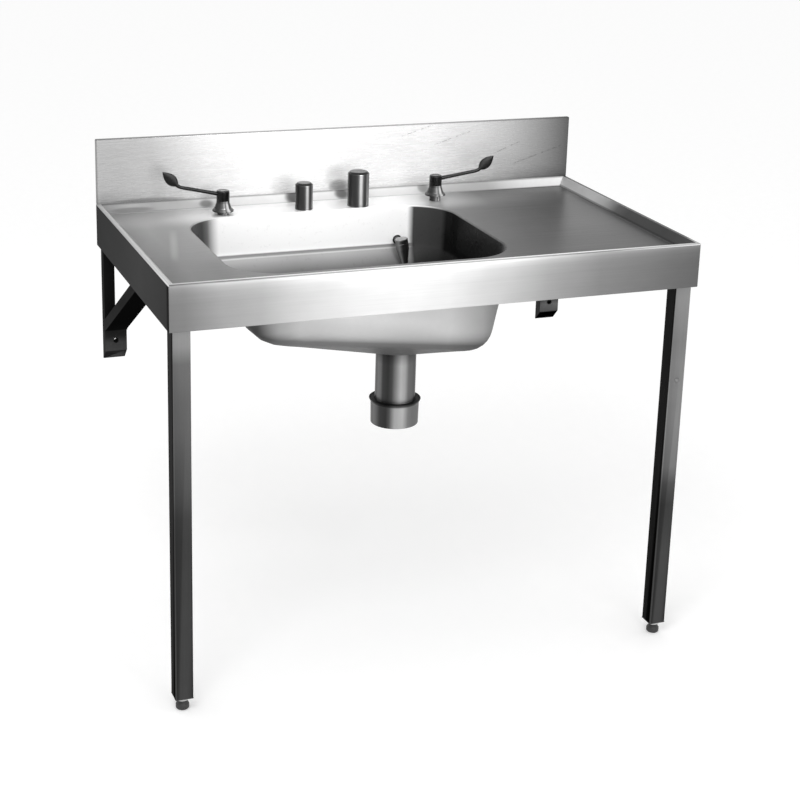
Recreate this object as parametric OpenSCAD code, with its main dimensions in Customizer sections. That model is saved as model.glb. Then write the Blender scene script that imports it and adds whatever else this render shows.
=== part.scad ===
// Wall-mounted bedpan sluice sink in stainless steel, with a deep bowl on the left and a
// drainer on the right. Millimetres. The origin is on the floor under the middle of the
// worktop, +X runs along it to the right, +Y towards the wall and +Z up.

/* [Worktop] */
// Width of the worktop
top_w = 1150; // [1050:10:1500]
// Depth of the worktop, front to wall
top_d = 660; // [620:5:760]
// Height of the rim above the floor
rim_h = 920; // [860:5:960]
// Height of the apron round the front and sides
apron_h = 96; // [80:2:120]
// Thickness of the stainless steel sheet
sheet = 1.5; // [1:0.1:2]
// Flat width on top of the rim
rim_flat = 8; // [5:1:14]
// Width of the slope between the rim and the deck
rim_slope = 18; // [12:1:26]
// Depth of the deck below the rim
deck_drop = 20; // [12:1:30]
// Hem turned in under the apron
hem = 6; // [3:0.5:6.5]

/* [Upstand] */
// Height of the upstand above the rim
upstand_h = 145; // [60:5:300]
// Thickness of the folded upstand, front to wall
upstand_t = 12; // [8:1:20]
// Height of the fold that turns down behind the upstand
upstand_fold = 20; // [10:1:40]

/* [Bowl] */
// Width of the bowl at the deck
bowl_w = 610; // [540:5:640]
// Place of the bowl's middle, left of the worktop's middle
bowl_left = 107; // [60:1:120]
// Width of deck left in front of the bowl
front_land = 62; // [55:1:90]
// Width of deck left between the bowl and the middle of the valves
back_land = 27; // [25:0.5:40]
// Corner radius of the bowl in plan
bowl_r = 100; // [70:1:120]
// Depth of the line where the bowl's sides turn in
waist_drop = 92; // [85:1:110]
// Inward draft of the bowl's sides above that line
bowl_draft = 4; // [1:0.5:8]
// Depth of the bowl floor at its left end
left_depth = 161; // [140:1:180]
// Depth of the bowl floor at its right end
right_depth = 224; // [205:1:240]
// Depth of the outlet sump
sump_depth = 258; // [245:1:290]
// Radius of the flat sump round the outlet
sump_r = 60; // [55:1:70]
// Rounding of the bowl floor's left end
left_round = 28; // [20:1:40]
// Rounding of the bowl floor's right end
right_round = 54; // [35:1:60]
// Lean of the left end
left_lean = 50; // [30:1:70]
// Lean of the right end
right_lean = 30; // [15:1:45]
// Lean of the front side
front_lean = 20; // [10:1:40]
// Lean of the back side
back_lean = 50; // [30:1:70]
// Flange of the bowl under the deck
bowl_flange = 6; // [3:0.5:8]

/* [Waste] */
// Place of the outlet, left of the bowl's right edge
outlet_in = 184; // [176:1:215]
// Outside diameter of the outlet pipe
outlet_d = 90; // [80:1:100]
// Wall of the outlet pipe
outlet_wall = 1.6; // [1.2:0.1:3]
// Length of the outlet pipe below the bowl
outlet_len = 132; // [100:1:200]
// Outside diameter of the coupling collar below its lip
collar_d = 108; // [106:1:116]
// Wall of the coupling collar
collar_wall = 3; // [2:0.5:4]
// Inward taper of the collar towards its lower end
collar_taper = 1; // [0.5:0.1:1.4]
// Length of the coupling collar
collar_len = 57; // [50:1:80]
// Length of pipe that the collar holds
collar_grip = 14; // [12:1:20]
// Depth of the seal's pocket in the collar's wall
seal_pocket = 1; // [0.5:0.1:1.2]
// Outward flare of the collar's lip
lip_out = 4; // [2:0.5:6]
// Height of the collar's flared lip
lip_h = 9; // [6:1:11]
// Depth of the seal's top below the lip's edge
seal_down = 1; // [0.5:0.5:2]
// Weld ring under the sump
weld_ring = 8; // [5:1:12]
// Diameter of the lift-out grating
grate_d = 104; // [100:1:108]
// Thickness of the grating
grate_t = 2; // [1.5:0.5:3]
// Diameter of each hole in the grating
grate_hole_d = 9; // [6:0.5:10]

/* [Legs and feet] */
// Outside width of the square leg tube
leg = 38; // [32:1:40]
// Wall of the leg tube
leg_wall = 1.5; // [1.2:0.1:2.5]
// Distance of the leg behind the worktop's front face
leg_back = 12; // [10:0.5:20]
// Distance of the leg in from the worktop's end
leg_in = 8; // [8:0.5:14]
// Height of the tube's lower end above the floor
leg_lift = 30; // [29:1:45]
// Gap between the leg's top and the deck
leg_top_gap = 8; // [4:1:14]
// Wall of the socket that takes the leg
socket_wall = 3; // [2:0.5:4]
// Clearance between leg and socket, each side
socket_fit = 0.5; // [0.3:0.1:1]
// Height of the socket's mouth above the apron's lower edge
socket_up = 10; // [4:1:20]
// Diameter of the adjustable foot
foot_d = 28; // [24:1:34]
// Height of the foot's base
foot_h = 20; // [14:1:20]
// Diameter of the foot's screw
screw_d = 10; // [8:1:12]
// Length of the foot's screw above the base
screw_len = 58; // [50:1:70]
// Radial clearance of every running fit
run_fit = 0.05; // [0.02:0.01:0.09]
// Length of the plug in the leg's end
plug_len = 28; // [20:1:36]
// Height of the fixing screw on the right leg
side_screw_z = 612; // [300:1:750]

/* [Wall brackets] */
// Width of the bracket's tubes
bracket_w = 50; // [44:1:60]
// Depth of the bracket's tubes
bracket_t = 25; // [20:1:30]
// Wall of the bracket's tubes
bracket_wall = 2; // [1.5:0.5:3]
// Gap between the bracket and the apron's hem
bracket_gap = 0.5; // [0.5:0.5:6]
// Height of the brace's lower end above the floor, at the wall
brace_z = 614; // [580:1:680]
// Rise of the brace, degrees
brace_rise = 30.5; // [26:0.5:40]
// Height of the bracket's lowest point above the floor
post_z = 556; // [520:1:570]
// Height of the lower wall fixing above the floor
low_hole_z = 605; // [598:1:612]
// Diameter of the wall fixing holes
wall_hole_d = 11; // [8:0.5:13]
// Height of the upper wall plate
plate_h = 45; // [36:1:60]
// Thickness of the upper wall plate
plate_t = 5; // [3:0.5:8]

/* [Lever valves] */
// Distance of the valves and breakers in front of the wall
fixture_wall = 88; // [86:0.5:92]
// Place of the left valve, right of the bowl's left edge
left_valve_in = 103; // [60:1:130]
// Place of the right valve, right of the bowl's right edge
right_valve_out = 2; // [-10:1:40]
// Diameter of the threaded neck and inlet tail
tail_d = 20.9; // [18:0.1:22]
// Length of the inlet tail below the valve block
tail_len = 25; // [15:1:40]
// Diameter of the valve block under the deck
block_d = 32; // [30:1:34]
// Length of the valve block
block_len = 55; // [50:1:60]
// Diameter of the round nut on the deck
neck_nut_d = 26; // [24:0.5:30]
// Height of the round nut on the deck
neck_nut_h = 9; // [6:1:12]
// Extra height of the right valve's head on its neck
right_up = 6; // [0:1:10]
// Diameter of the bell cover's lip
bell_d = 48; // [42:1:54]
// Height of the bell cover
bell_h = 24; // [20:1:30]
// Diameter of the lever hub
hub_d = 29; // [26:0.5:32]
// Height of the lever hub
hub_h = 23; // [20:1:28]
// Diameter of the lever's rod
rod_d = 8; // [6:0.5:10]
// Reach of the rod from the valve's axis to the blade
rod_reach = 98; // [70:1:120]
// Rise of the rod, degrees
rod_rise = 12; // [4:1:18]
// Length of the lever's blade
blade_len = 52; // [40:1:70]
// Width of the lever's blade
blade_w = 24; // [16:1:30]
// Thickness of the lever's blade
blade_t = 4; // [3:0.5:6]
// Rise of the blade, degrees
blade_rise = 44; // [30:1:55]
// Where the left lever rests, degrees forward of the line along the deck
left_rest = -5; // [-10:1:20]
// Where the right lever rests, degrees forward of the line along the deck
right_rest = 14; // [-10:1:20]
// Diameter of the spindle
spindle_d = 10; // [8:0.5:12]

/* [Vacuum breakers] */
// Place of the small breaker, left of the outlet
small_left = 134; // [110:1:160]
// Diameter of the small breaker's cap
small_d = 40; // [36:1:44]
// Height of the small breaker's cap
small_h = 61; // [45:1:80]
// Place of the large breaker, left of the outlet
large_left = 4; // [-10:1:14]
// Diameter of the large breaker's cap
large_d = 49; // [45:1:52]
// Height of the large breaker's cap
large_h = 80; // [60:1:100]
// Wall of the breaker caps
cap_wall = 2; // [1.5:0.5:3]
// Lift of the float
float_lift = 4; // [2:0.5:6]

/* [Pipework] */
// Outside diameter of the pipes
pipe_d = 15; // [12:1:16]
// Wall of the pipes
pipe_wall = 1; // [0.8:0.1:1.2]
// Radius of the pipe bends
bend_r = 16; // [15:1:18]
// Depth of the feed pipes below the deck
feed_drop = 38; // [34:1:40]
// Depth of the jet and its pipe below the deck
jet_drop = 78; // [77:0.5:79]
// Place of the jet, right of the outlet
jet_right = 81; // [70:1:100]
// Reach of the jet into the bowl
jet_reach = 34; // [30:1:40]
// Radius of the jet's head
jet_r = 15; // [12:1:18]
// Length of the jet's cone
jet_cone = 36; // [26:1:44]
// Lean of the jet towards the right, degrees
jet_lean = 10; // [0:1:16]
// Width across flats of the pipe nuts
pipe_nut_af = 22; // [20:1:24]
// Height of the pipe nuts
pipe_nut_h = 9; // [8:1:10]

/* [Under the deck] */
// Thickness of the sound-deadening pad
pad_t = 3; // [2:0.5:5]
// Margin of the pad round the drainer's underside
pad_margin = 40; // [30:1:60]
// Width of the front rail's square tube
rail = 25; // [20:1:28]

/* [Hidden] */
$fn = 64;

// Amount by which a cutting solid runs past the face it cuts
over = 1;
// Half sizes and main levels
half_w = top_w / 2;
half_d = top_d / 2;
deck_z = rim_h - deck_drop;
under_z = deck_z - sheet;
apron_z = rim_h - apron_h;
// Slope of the rim and the inner edges of the deck
slope_a = atan2(deck_drop, rim_slope);
deck_x = half_w - rim_flat - rim_slope;
deck_front = -half_d + rim_flat + rim_slope;
deck_back = half_d - upstand_t - rim_slope;
// Line on which the valves and breakers stand
fixture_y = half_d - fixture_wall;
// Bowl edges at the deck
bowl_x0 = -bowl_left - bowl_w / 2;
bowl_x1 = -bowl_left + bowl_w / 2;
bowl_y0 = deck_front + front_land;
bowl_y1 = fixture_y - back_land;
waist_z = deck_z - waist_drop;
sump_z = deck_z - sump_depth;
outlet_x = bowl_x1 - outlet_in;
outlet_y = (bowl_y0 + bowl_y1) / 2;
outlet_end = sump_z - sheet - outlet_len;
collar_top = outlet_end + collar_grip;
collar_in = collar_d - 2 * collar_wall;
// Legs
leg_x = half_w - leg_in - leg / 2;
leg_y = -half_d + leg_back + leg / 2;
leg_top = under_z - leg_top_gap;
socket_half = leg / 2 + socket_fit + socket_wall;
socket_z = apron_z + socket_up;
leg_bolt_d = 8;
leg_bolt_af = 13;
leg_bolt_head = 5.5;
leg_bolt_grip = socket_wall + socket_fit + leg_wall + leg_bolt_d;
leg_bolt_z = (socket_z + leg_top) / 2;
plug_plate = 2;
locknut_d = 26;
locknut_h = 7;
screw_top = foot_h + screw_len;
// Brackets
bracket_out = half_w - sheet - hem - bracket_gap;
bracket_in = bracket_out - bracket_w;
bracket_mid = bracket_out - bracket_w / 2;
post_face = half_d - bracket_t;
arm_z = under_z - bracket_t;
arm_front = leg_y + socket_half;
brace_deep = bracket_t / cos(brace_rise);
brace_foot = brace_z + bracket_t * tan(brace_rise);
post_in = bracket_out - bracket_t;
high_hole_z = arm_z - plate_h / 2;
high_hole_x = (bracket_in + post_in) / 2;
arm_bolt_d = 6;
arm_bolt_af = 10;
arm_bolt_head = 4;
arm_bolt_y = [-0.3 * top_d, 0.1 * top_d];
// Valves, measured from the deck's upper face; rise is the extra height of a side's head
function rise(side) = side > 0 ? right_up : 0;
left_valve_x = bowl_x0 + left_valve_in;
right_valve_x = bowl_x1 + right_valve_out;
washer_t = 3;
block_top = -sheet - washer_t;
hub_gap = 0.4;
bell_z = neck_nut_h - 2;
bonnet_z = bell_z + bell_h - 3;
hub_z = bell_z + bell_h + hub_gap;
rod_z = hub_z + 0.55 * hub_h;
rod_end_x = rod_reach;
rod_end_z = rod_z + rod_reach * tan(rod_rise);
blade_r = (pow(blade_len, 2) / 4 + pow(blade_w, 2) / 4) / blade_w;
lever_bolt_d = 5;
// Breakers
small_x = outlet_x - small_left;
large_x = outlet_x - large_left;
breaker_block = 58;
breaker_nut_af = 28;
breaker_nut_h = 8;
seat_up = 24;
float_t = 3;
float_pin = 8;
neck_gap = 12;
neck_bore = tail_d - 3;
// Pipework levels
feed_z = deck_z - feed_drop;
jet_z = deck_z - jet_drop;
jet_x = outlet_x + jet_right;
boss_len = 8;
boss_x = block_d / 2 + boss_len;
tee_r = 11;
tee_half = 18;
// Inner face of the bowl's back wall at the jet
jet_wall_y = bowl_y1 - bowl_draft * (jet_drop - sheet) / (waist_drop - sheet);
jet_flange_t = 2;
jet_flange_y = bowl_y1 - bowl_draft - jet_flange_t;
jet_tail_end = jet_wall_y + 12;
jet_nut_y = jet_wall_y + sheet + 0.8;
jet_axis_y = jet_wall_y - jet_reach;

// A box given by its low and high corners
module box(lo, hi) {
    translate(lo) cube(hi - lo);
}

// Both sides of the sink: the left one is the mirror image of the right one
module left_side() {
    mirror([1, 0, 0]) children();
}

// Turns +Z to the direction d
module aim(d) {
    rotate([0, acos(d[2] / norm(d)), atan2(d[1], d[0])]) children();
}

// A hexagon prism of a width across flats
module hex(af, h) {
    cylinder(d = af / cos(30), h = h, $fn = 6);
}

// A ring with a round bore
module ring(d_out, d_in, h) {
    difference() {
        cylinder(d = d_out, h = h);
        translate([0, 0, -over]) cylinder(d = d_in, h = h + 2 * over);
    }
}

// A rectangle with round corners, as squares and circles
module round_plan(x0, x1, y0, y1, r) {
    translate([x0 + r, y0]) square([x1 - x0 - 2 * r, y1 - y0]);
    translate([x0, y0 + r]) square([x1 - x0, y1 - y0 - 2 * r]);
    for (x = [x0 + r, x1 - r], y = [y0 + r, y1 - r]) {
        translate([x, y]) circle(r = r);
    }
}

// One straight length of pipe from a to b
module pipe_run(a, b, r) {
    translate(a) aim(b - a) cylinder(r = r, h = norm(b - a));
}

// A quarter bend at the corner p, coming in along u and leaving along v
module pipe_bend(p, u, v, r) {
    c = p - bend_r * u + bend_r * v;
    w = cross(u, v);
    multmatrix([
        [-v[0], u[0], w[0], c[0]],
        [-v[1], u[1], w[1], c[1]],
        [-v[2], u[2], w[2], c[2]],
        [0, 0, 0, 1]
    ]) rotate_extrude(angle = 90) translate([bend_r, 0]) circle(r = r);
}

// Solid round bar along points that turn by right angles, longer by e at both ends
module pipe_core(pts, r, e) {
    last = len(pts) - 1;
    for (i = [0:last - 1]) {
        u = (pts[i + 1] - pts[i]) / norm(pts[i + 1] - pts[i]);
        a = i == 0 ? pts[i] - e * u : pts[i] + bend_r * u;
        b = i + 1 == last ? pts[i + 1] + e * u : pts[i + 1] - bend_r * u;
        pipe_run(a, b, r);
        if (i + 1 < last) {
            v = (pts[i + 2] - pts[i + 1]) / norm(pts[i + 2] - pts[i + 1]);
            pipe_bend(pts[i + 1], u, v, r);
        }
    }
}

// A pipe along points that turn by right angles
module bent_pipe(pts) {
    difference() {
        pipe_core(pts, pipe_d / 2, 0);
        pipe_core(pts, pipe_d / 2 - pipe_wall, over);
    }
}

// Sheet metal

// The sunken deck with its sloped sides, grown outwards by o and cut off at the height top
module pan(o, top) {
    low = deck_z - o;
    low_out = o * tan(slope_a / 2);
    top_out = o / sin(slope_a) + (top - rim_h) / tan(slope_a);
    rim_x = deck_x + rim_slope;
    intersection() {
        translate([0, half_d + over, 0]) rotate([90, 0, 0])
            linear_extrude(top_d + 2 * over) polygon([
                [-deck_x - low_out, low], [deck_x + low_out, low],
                [rim_x + top_out, top], [-rim_x - top_out, top]
            ]);
        translate([-half_w, 0, 0]) rotate([90, 0, 90])
            linear_extrude(top_w) polygon([
                [deck_front - low_out, low], [deck_back + low_out, low],
                [deck_back + rim_slope + top_out, top], [deck_front - rim_slope - top_out, top]
            ]);
    }
}

// Deck, rims and aprons, folded from one sheet
module worktop() {
    color("gainsboro") difference() {
        union() {
            difference() {
                box([-half_w, -half_d, apron_z], [half_w, half_d, rim_h]);
                box([-half_w + sheet, -half_d + sheet, apron_z + sheet],
                    [half_w - sheet, half_d + over, rim_h - sheet]);
                box([-half_w + sheet + hem, -half_d + sheet + hem, apron_z - over],
                    [half_w - sheet - hem, half_d + over, apron_z + sheet + over]);
            }
            pan(sheet, rim_h);
        }
        pan(0, rim_h + over);
        translate([0, 0, under_z - over]) linear_extrude(sheet + 2 * over)
            round_plan(bowl_x0, bowl_x1, bowl_y0, bowl_y1, bowl_r);
        for (x = [left_valve_x, right_valve_x, small_x, large_x]) {
            translate([x, fixture_y, under_z - over])
                cylinder(d = tail_d + 1, h = sheet + 2 * over);
        }
    }
}

// Splashback, folded over at the top and down behind
module upstand() {
    y0 = half_d - upstand_t;
    top = rim_h + upstand_h;
    color("whitesmoke") {
        difference() {
            box([-half_w, y0, rim_h], [half_w, half_d, top]);
            box([-half_w + sheet, y0 + sheet, rim_h - over],
                [half_w - sheet, half_d - sheet, top - sheet]);
            box([-half_w + sheet, y0 + sheet, rim_h - over],
                [half_w - sheet, half_d + over, top - upstand_fold]);
        }
    }
}

// The bowl's hollow, grown outwards by g, up to the height top
module bowl_form(g, top) {
    corners_x = [bowl_x0 + bowl_r, bowl_x1 - bowl_r];
    corners_y = [bowl_y0 + bowl_r, bowl_y1 - bowl_r];
    hull() {
        for (x = corners_x, y = corners_y) {
            translate([x, y, under_z]) cylinder(r = bowl_r + g, h = top - under_z, $fn = 80);
            translate([x, y, waist_z]) cylinder(r = bowl_r + g - bowl_draft, h = 1, $fn = 80);
        }
        for (y = [bowl_y0 + front_lean + left_round, bowl_y1 - back_lean - left_round]) {
            translate([bowl_x0 + left_lean + left_round, y, deck_z - left_depth + left_round])
                sphere(r = left_round + g, $fn = 32);
        }
        for (y = [bowl_y0 + front_lean + right_round, bowl_y1 - back_lean - right_round]) {
            translate([bowl_x1 - right_lean - right_round, y, deck_z - right_depth + right_round])
                sphere(r = right_round + g, $fn = 40);
        }
        translate([outlet_x, outlet_y, sump_z - g]) cylinder(r = sump_r, h = 1, $fn = 64);
    }
}

// Pressed bowl with its flange under the deck
module bowl() {
    flange = sheet + bowl_flange;
    color("silver") difference() {
        union() {
            bowl_form(sheet, under_z + 0.01);
            translate([0, 0, under_z - sheet]) linear_extrude(sheet)
                round_plan(bowl_x0 - flange, bowl_x1 + flange, bowl_y0 - flange, bowl_y1 + flange,
                    bowl_r + flange);
        }
        bowl_form(0, under_z + over);
        translate([0, 0, under_z]) linear_extrude(over)
            round_plan(bowl_x0 - flange, bowl_x1 + flange, bowl_y0 - flange, bowl_y1 + flange,
                bowl_r + flange);
        translate([outlet_x, outlet_y, sump_z - 3 * sheet])
            cylinder(d = outlet_d + 2 * run_fit, h = 6 * sheet);
        translate([jet_x, jet_wall_y - 5 * sheet, jet_z]) rotate([-90, 0, 0])
            cylinder(d = pipe_d + 1, h = 10 * sheet);
    }
}

// Square tube across the front, between the leg sockets
module front_rail() {
    x = leg_x - socket_half;
    color("silver") difference() {
        box([-x, leg_y - rail / 2, under_z - rail], [x, leg_y + rail / 2, under_z]);
        box([-x - over, leg_y - rail / 2 + sheet, under_z - rail + sheet],
            [x + over, leg_y + rail / 2 - sheet, under_z - sheet]);
    }
}

// Pad glued under the drainer against drumming
module deadening_pad() {
    color("dimgray") box([bowl_x1 + pad_margin, leg_y + rail / 2 + pad_margin, under_z - pad_t],
        [bracket_in - pad_margin / 2, fixture_y - pad_margin, under_z]);
}

// Bonding tag for the earth wire, spot-welded under the deck on the left
module earth_tag() {
    x = (bowl_x0 - bracket_in) / 2;
    tag_w = 16;
    tag_h = 28;
    color("goldenrod") difference() {
        union() {
            box([x - tag_w / 2, fixture_y, under_z - sheet], [x + tag_w / 2, fixture_y + tag_w, under_z]);
            box([x - tag_w / 2, fixture_y, under_z - tag_h],
                [x + tag_w / 2, fixture_y + sheet, under_z]);
        }
        translate([x, fixture_y - over, under_z - tag_h + tag_w / 2]) rotate([-90, 0, 0])
            cylinder(d = 6.5, h = sheet + 2 * over);
    }
}

// Legs and feet, drawn on the right

module leg_socket_solid() {
    h = socket_half;
    inner = leg / 2 + socket_fit;
    color("darkgray") difference() {
        box([leg_x - h, leg_y - h, socket_z], [leg_x + h, leg_y + h, under_z]);
        box([leg_x - inner, leg_y - inner, socket_z - over],
            [leg_x + inner, leg_y + inner, under_z - socket_wall]);
        translate([leg_x - h - over, leg_y, leg_bolt_z]) rotate([0, 90, 0])
            cylinder(d = leg_bolt_d + 0.4, h = h);
    }
}

module leg_solid() {
    h = leg / 2;
    color("darkgray") difference() {
        box([leg_x - h, leg_y - h, leg_lift], [leg_x + h, leg_y + h, leg_top]);
        box([leg_x - h + leg_wall, leg_y - h + leg_wall, leg_lift - over],
            [leg_x + h - leg_wall, leg_y + h - leg_wall, leg_top + over]);
        translate([leg_x - h - over, leg_y, leg_bolt_z]) rotate([0, 90, 0])
            cylinder(d = leg_bolt_d + 0.4, h = h);
    }
}

module leg_bolt_solid() {
    x = leg_x - socket_half;
    translate([x, leg_y, leg_bolt_z]) rotate([0, -90, 0])
        hex(leg_bolt_af, leg_bolt_head);
    translate([x, leg_y, leg_bolt_z]) rotate([0, 90, 0])
        cylinder(d = leg_bolt_d, h = leg_bolt_grip);
}

module leg_plug_solid() {
    h = leg / 2;
    inner = h - leg_wall - 0.2;
    color("dimgray") difference() {
        union() {
            box([leg_x - h, leg_y - h, leg_lift - plug_plate], [leg_x + h, leg_y + h, leg_lift]);
            box([leg_x - inner, leg_y - inner, leg_lift],
                [leg_x + inner, leg_y + inner, leg_lift + plug_len]);
        }
        translate([leg_x, leg_y, 0]) cylinder(d = screw_d + 2 * run_fit, h = rim_h / 2);
    }
}

// Round lock nut between the foot and the plug
module locknut_solid() {
    translate([leg_x, leg_y, leg_lift - plug_plate - locknut_h]) difference() {
        cylinder(d = locknut_d, h = locknut_h);
        translate([0, 0, -over]) cylinder(d = screw_d + 2 * run_fit, h = locknut_h + 2 * over);
    }
}

module foot_solid() {
    r = foot_d / 2;
    round = 0.45 * foot_h;
    color("dimgray") translate([leg_x, leg_y, 0]) {
        rotate_extrude() {
            polygon([[0, 0], [r - 3, 0], [r, 3], [r, foot_h - round], [r - round, foot_h - round],
                [r - round, foot_h], [0, foot_h]]);
            translate([r - round, foot_h - round]) intersection() {
                circle(r = round);
                square(round);
            }
        }
        cylinder(d = screw_d, h = screw_top);
    }
}

module left_leg_socket() { left_side() leg_socket_solid(); }
module right_leg_socket() { leg_socket_solid(); }
module left_leg() { left_side() leg_solid(); }
module right_leg() {
    difference() {
        leg_solid();
        translate([leg_x, leg_y - leg / 2 - over, side_screw_z]) rotate([-90, 0, 0])
            cylinder(d = 5.2, h = leg_wall + 2 * over);
    }
}
module left_leg_plug() { left_side() leg_plug_solid(); }
module right_leg_plug() { leg_plug_solid(); }
module left_foot() { left_side() foot_solid(); }
module right_foot() { foot_solid(); }

module leg_bolts() {
    color("silver") {
        leg_bolt_solid();
        left_side() leg_bolt_solid();
    }
}

module foot_locknuts() {
    color("silver") {
        locknut_solid();
        left_side() locknut_solid();
    }
}

// Round-headed screw on the right leg's front face
module leg_side_screw() {
    head_h = 3;
    color("dimgray") translate([leg_x, leg_y - leg / 2, side_screw_z]) {
        rotate([90, 0, 0]) cylinder(d1 = 10, d2 = 6, h = head_h);
        rotate([-90, 0, 0]) cylinder(d = 5, h = 12);
    }
}

// Wall brackets, drawn on the right

// Tube under the deck, from the wall to the leg socket
module arm_solid() {
    w = bracket_wall;
    color("dimgray") difference() {
        box([bracket_in, arm_front, arm_z], [bracket_out, half_d, under_z]);
        box([bracket_in + w, arm_front - over, arm_z + w],
            [bracket_out - w, half_d + over, under_z - w]);
        for (y = arm_bolt_y) {
            translate([bracket_mid, y, arm_z - over])
                cylinder(d = arm_bolt_d + 0.6, h = bracket_t + 2 * over);
        }
    }
}

// Post on the wall: the wide mitred foot, the narrow upper tube and the upper wall plate
module post_solid() {
    w = bracket_wall;
    foot_top = brace_foot + brace_deep;
    color("dimgray") difference() {
        union() {
            box([bracket_in, post_face, post_z], [bracket_out, half_d, foot_top]);
            box([post_in, post_face, post_z], [bracket_out, half_d, arm_z]);
            box([bracket_in, half_d - plate_t, arm_z - plate_h], [bracket_out, half_d, arm_z]);
        }
        box([bracket_in + w, post_face + w, post_z - over],
            [bracket_out - w, half_d - w, foot_top - w]);
        box([post_in + w, post_face + w, post_z - over],
            [bracket_out - w, half_d - plate_t, arm_z - w]);
        translate([bracket_in - over, half_d, post_z]) rotate([-45, 0, 0])
            translate([0, -2 * bracket_t, -2 * bracket_t])
                cube([bracket_w + 2 * over, 4 * bracket_t, 2 * bracket_t]);
        translate([bracket_mid, post_face - over, low_hole_z]) rotate([-90, 0, 0])
            cylinder(d = wall_hole_d, h = bracket_t + 2 * over);
        translate([high_hole_x, half_d - plate_t - over, high_hole_z]) rotate([-90, 0, 0])
            cylinder(d = wall_hole_d, h = plate_t + 2 * over);
    }
}

// Sloping tube between the post and the arm; inset shrinks its section
module brace_bar(inset, e) {
    t = tan(brace_rise);
    low = brace_foot + inset / cos(brace_rise);
    high = brace_foot + brace_deep - inset / cos(brace_rise);
    y_low = post_face - (arm_z - low) / t;
    y_high = post_face - (arm_z - high) / t;
    translate([bracket_in + inset, 0, 0]) rotate([90, 0, 90])
        linear_extrude(bracket_w - 2 * inset) polygon([
            [post_face + e, low - e * t], [post_face + e, high - e * t],
            [y_high - e / t, arm_z + e], [y_low - e / t, arm_z + e]
        ]);
}

module brace_solid() {
    color("black") difference() {
        brace_bar(0, 0);
        brace_bar(bracket_wall, over);
    }
}

module arm_bolt_solid() {
    for (y = arm_bolt_y) {
        translate([bracket_mid, y, arm_z - arm_bolt_head]) {
            hex(arm_bolt_af, arm_bolt_head);
            cylinder(d = arm_bolt_d, h = bracket_t + arm_bolt_head);
        }
    }
}

module left_arm() { left_side() arm_solid(); }
module right_arm() { arm_solid(); }
module left_post() { left_side() post_solid(); }
module right_post() { post_solid(); }
module left_brace() { left_side() brace_solid(); }
module right_brace() { brace_solid(); }

module arm_bolts() {
    color("silver") {
        arm_bolt_solid();
        left_side() arm_bolt_solid();
    }
}

// Lever valves, drawn round their own axis with the deck's upper face at zero;
// side is +1 where the lever and the outlet boss's back point to +X

module at_valve(x) {
    translate([x, fixture_y, deck_z]) children();
}

module valve_body_solid(side) {
    bore = spindle_d + 2 * run_fit;
    color("goldenrod") difference() {
        union() {
            translate([0, 0, block_top - block_len]) cylinder(d = block_d, h = block_len);
            translate([0, 0, block_top - block_len - tail_len])
                cylinder(d = tail_d, h = tail_len + over);
            translate([0, 0, block_top - over]) cylinder(d = tail_d, h = bonnet_z + rise(side) - block_top + over);
            translate([0, 0, -feed_drop]) rotate([0, -90 * side, 0])
                cylinder(d = pipe_nut_af, h = block_d / 2 + boss_len);
        }
        translate([0, 0, block_top - block_len - tail_len - over])
            cylinder(d = 13, h = tail_len + block_len / 3);
        translate([0, 0, -feed_drop - 6])
            cylinder(d = bore, h = feed_drop + bonnet_z + rise(side) + 6 + over);
        translate([0, 0, -feed_drop]) rotate([0, -90 * side, 0])
            cylinder(d = pipe_d - 2 * pipe_wall, h = block_d / 2 + boss_len + over);
    }
}

module valve_washer_solid() {
    color("black") translate([0, 0, block_top]) ring(block_d, tail_d + 0.2, washer_t);
}

module valve_nut_solid(side) {
    color("silver") ring(neck_nut_d, tail_d + 0.1, neck_nut_h + rise(side));
}

// Bell-shaped cover over the valve's bonnet, resting on the round nut
module valve_cover_solid(side) {
    r0 = bell_d / 2;
    r1 = hub_d / 2;
    wall = 1.5;
    mid = 0.3 * bell_h;
    color("gray") translate([0, 0, bell_z + rise(side)]) rotate_extrude() difference() {
        polygon([[tail_d / 2 + 0.1, bell_h - wall], [tail_d / 2 + 0.1, bell_h], [r1, bell_h],
            [r1 + 0.5, bell_h * 0.8], [r0 - 5, mid], [r0, 3], [r0, 0], [r0 - wall, 0],
            [neck_nut_d / 2 + 0.2, 0], [neck_nut_d / 2 + 0.2, bell_h - wall]]);
        polygon([[neck_nut_d / 2 + 0.2 + wall, -over], [r0 - wall, -over], [r0 - wall, 2.6],
            [r0 - 5 - wall, mid - 0.6], [neck_nut_d / 2 + 0.2 + wall, mid + 2]]);
    }
}

module valve_spindle_solid(side) {
    top = hub_z + rise(side);
    color("goldenrod") {
        translate([0, 0, -feed_drop - 6]) cylinder(d = spindle_d, h = feed_drop + 6 + top);
        translate([0, 0, top]) cylinder(d = spindle_d - 2, h = hub_h - 7);
    }
}

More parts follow.
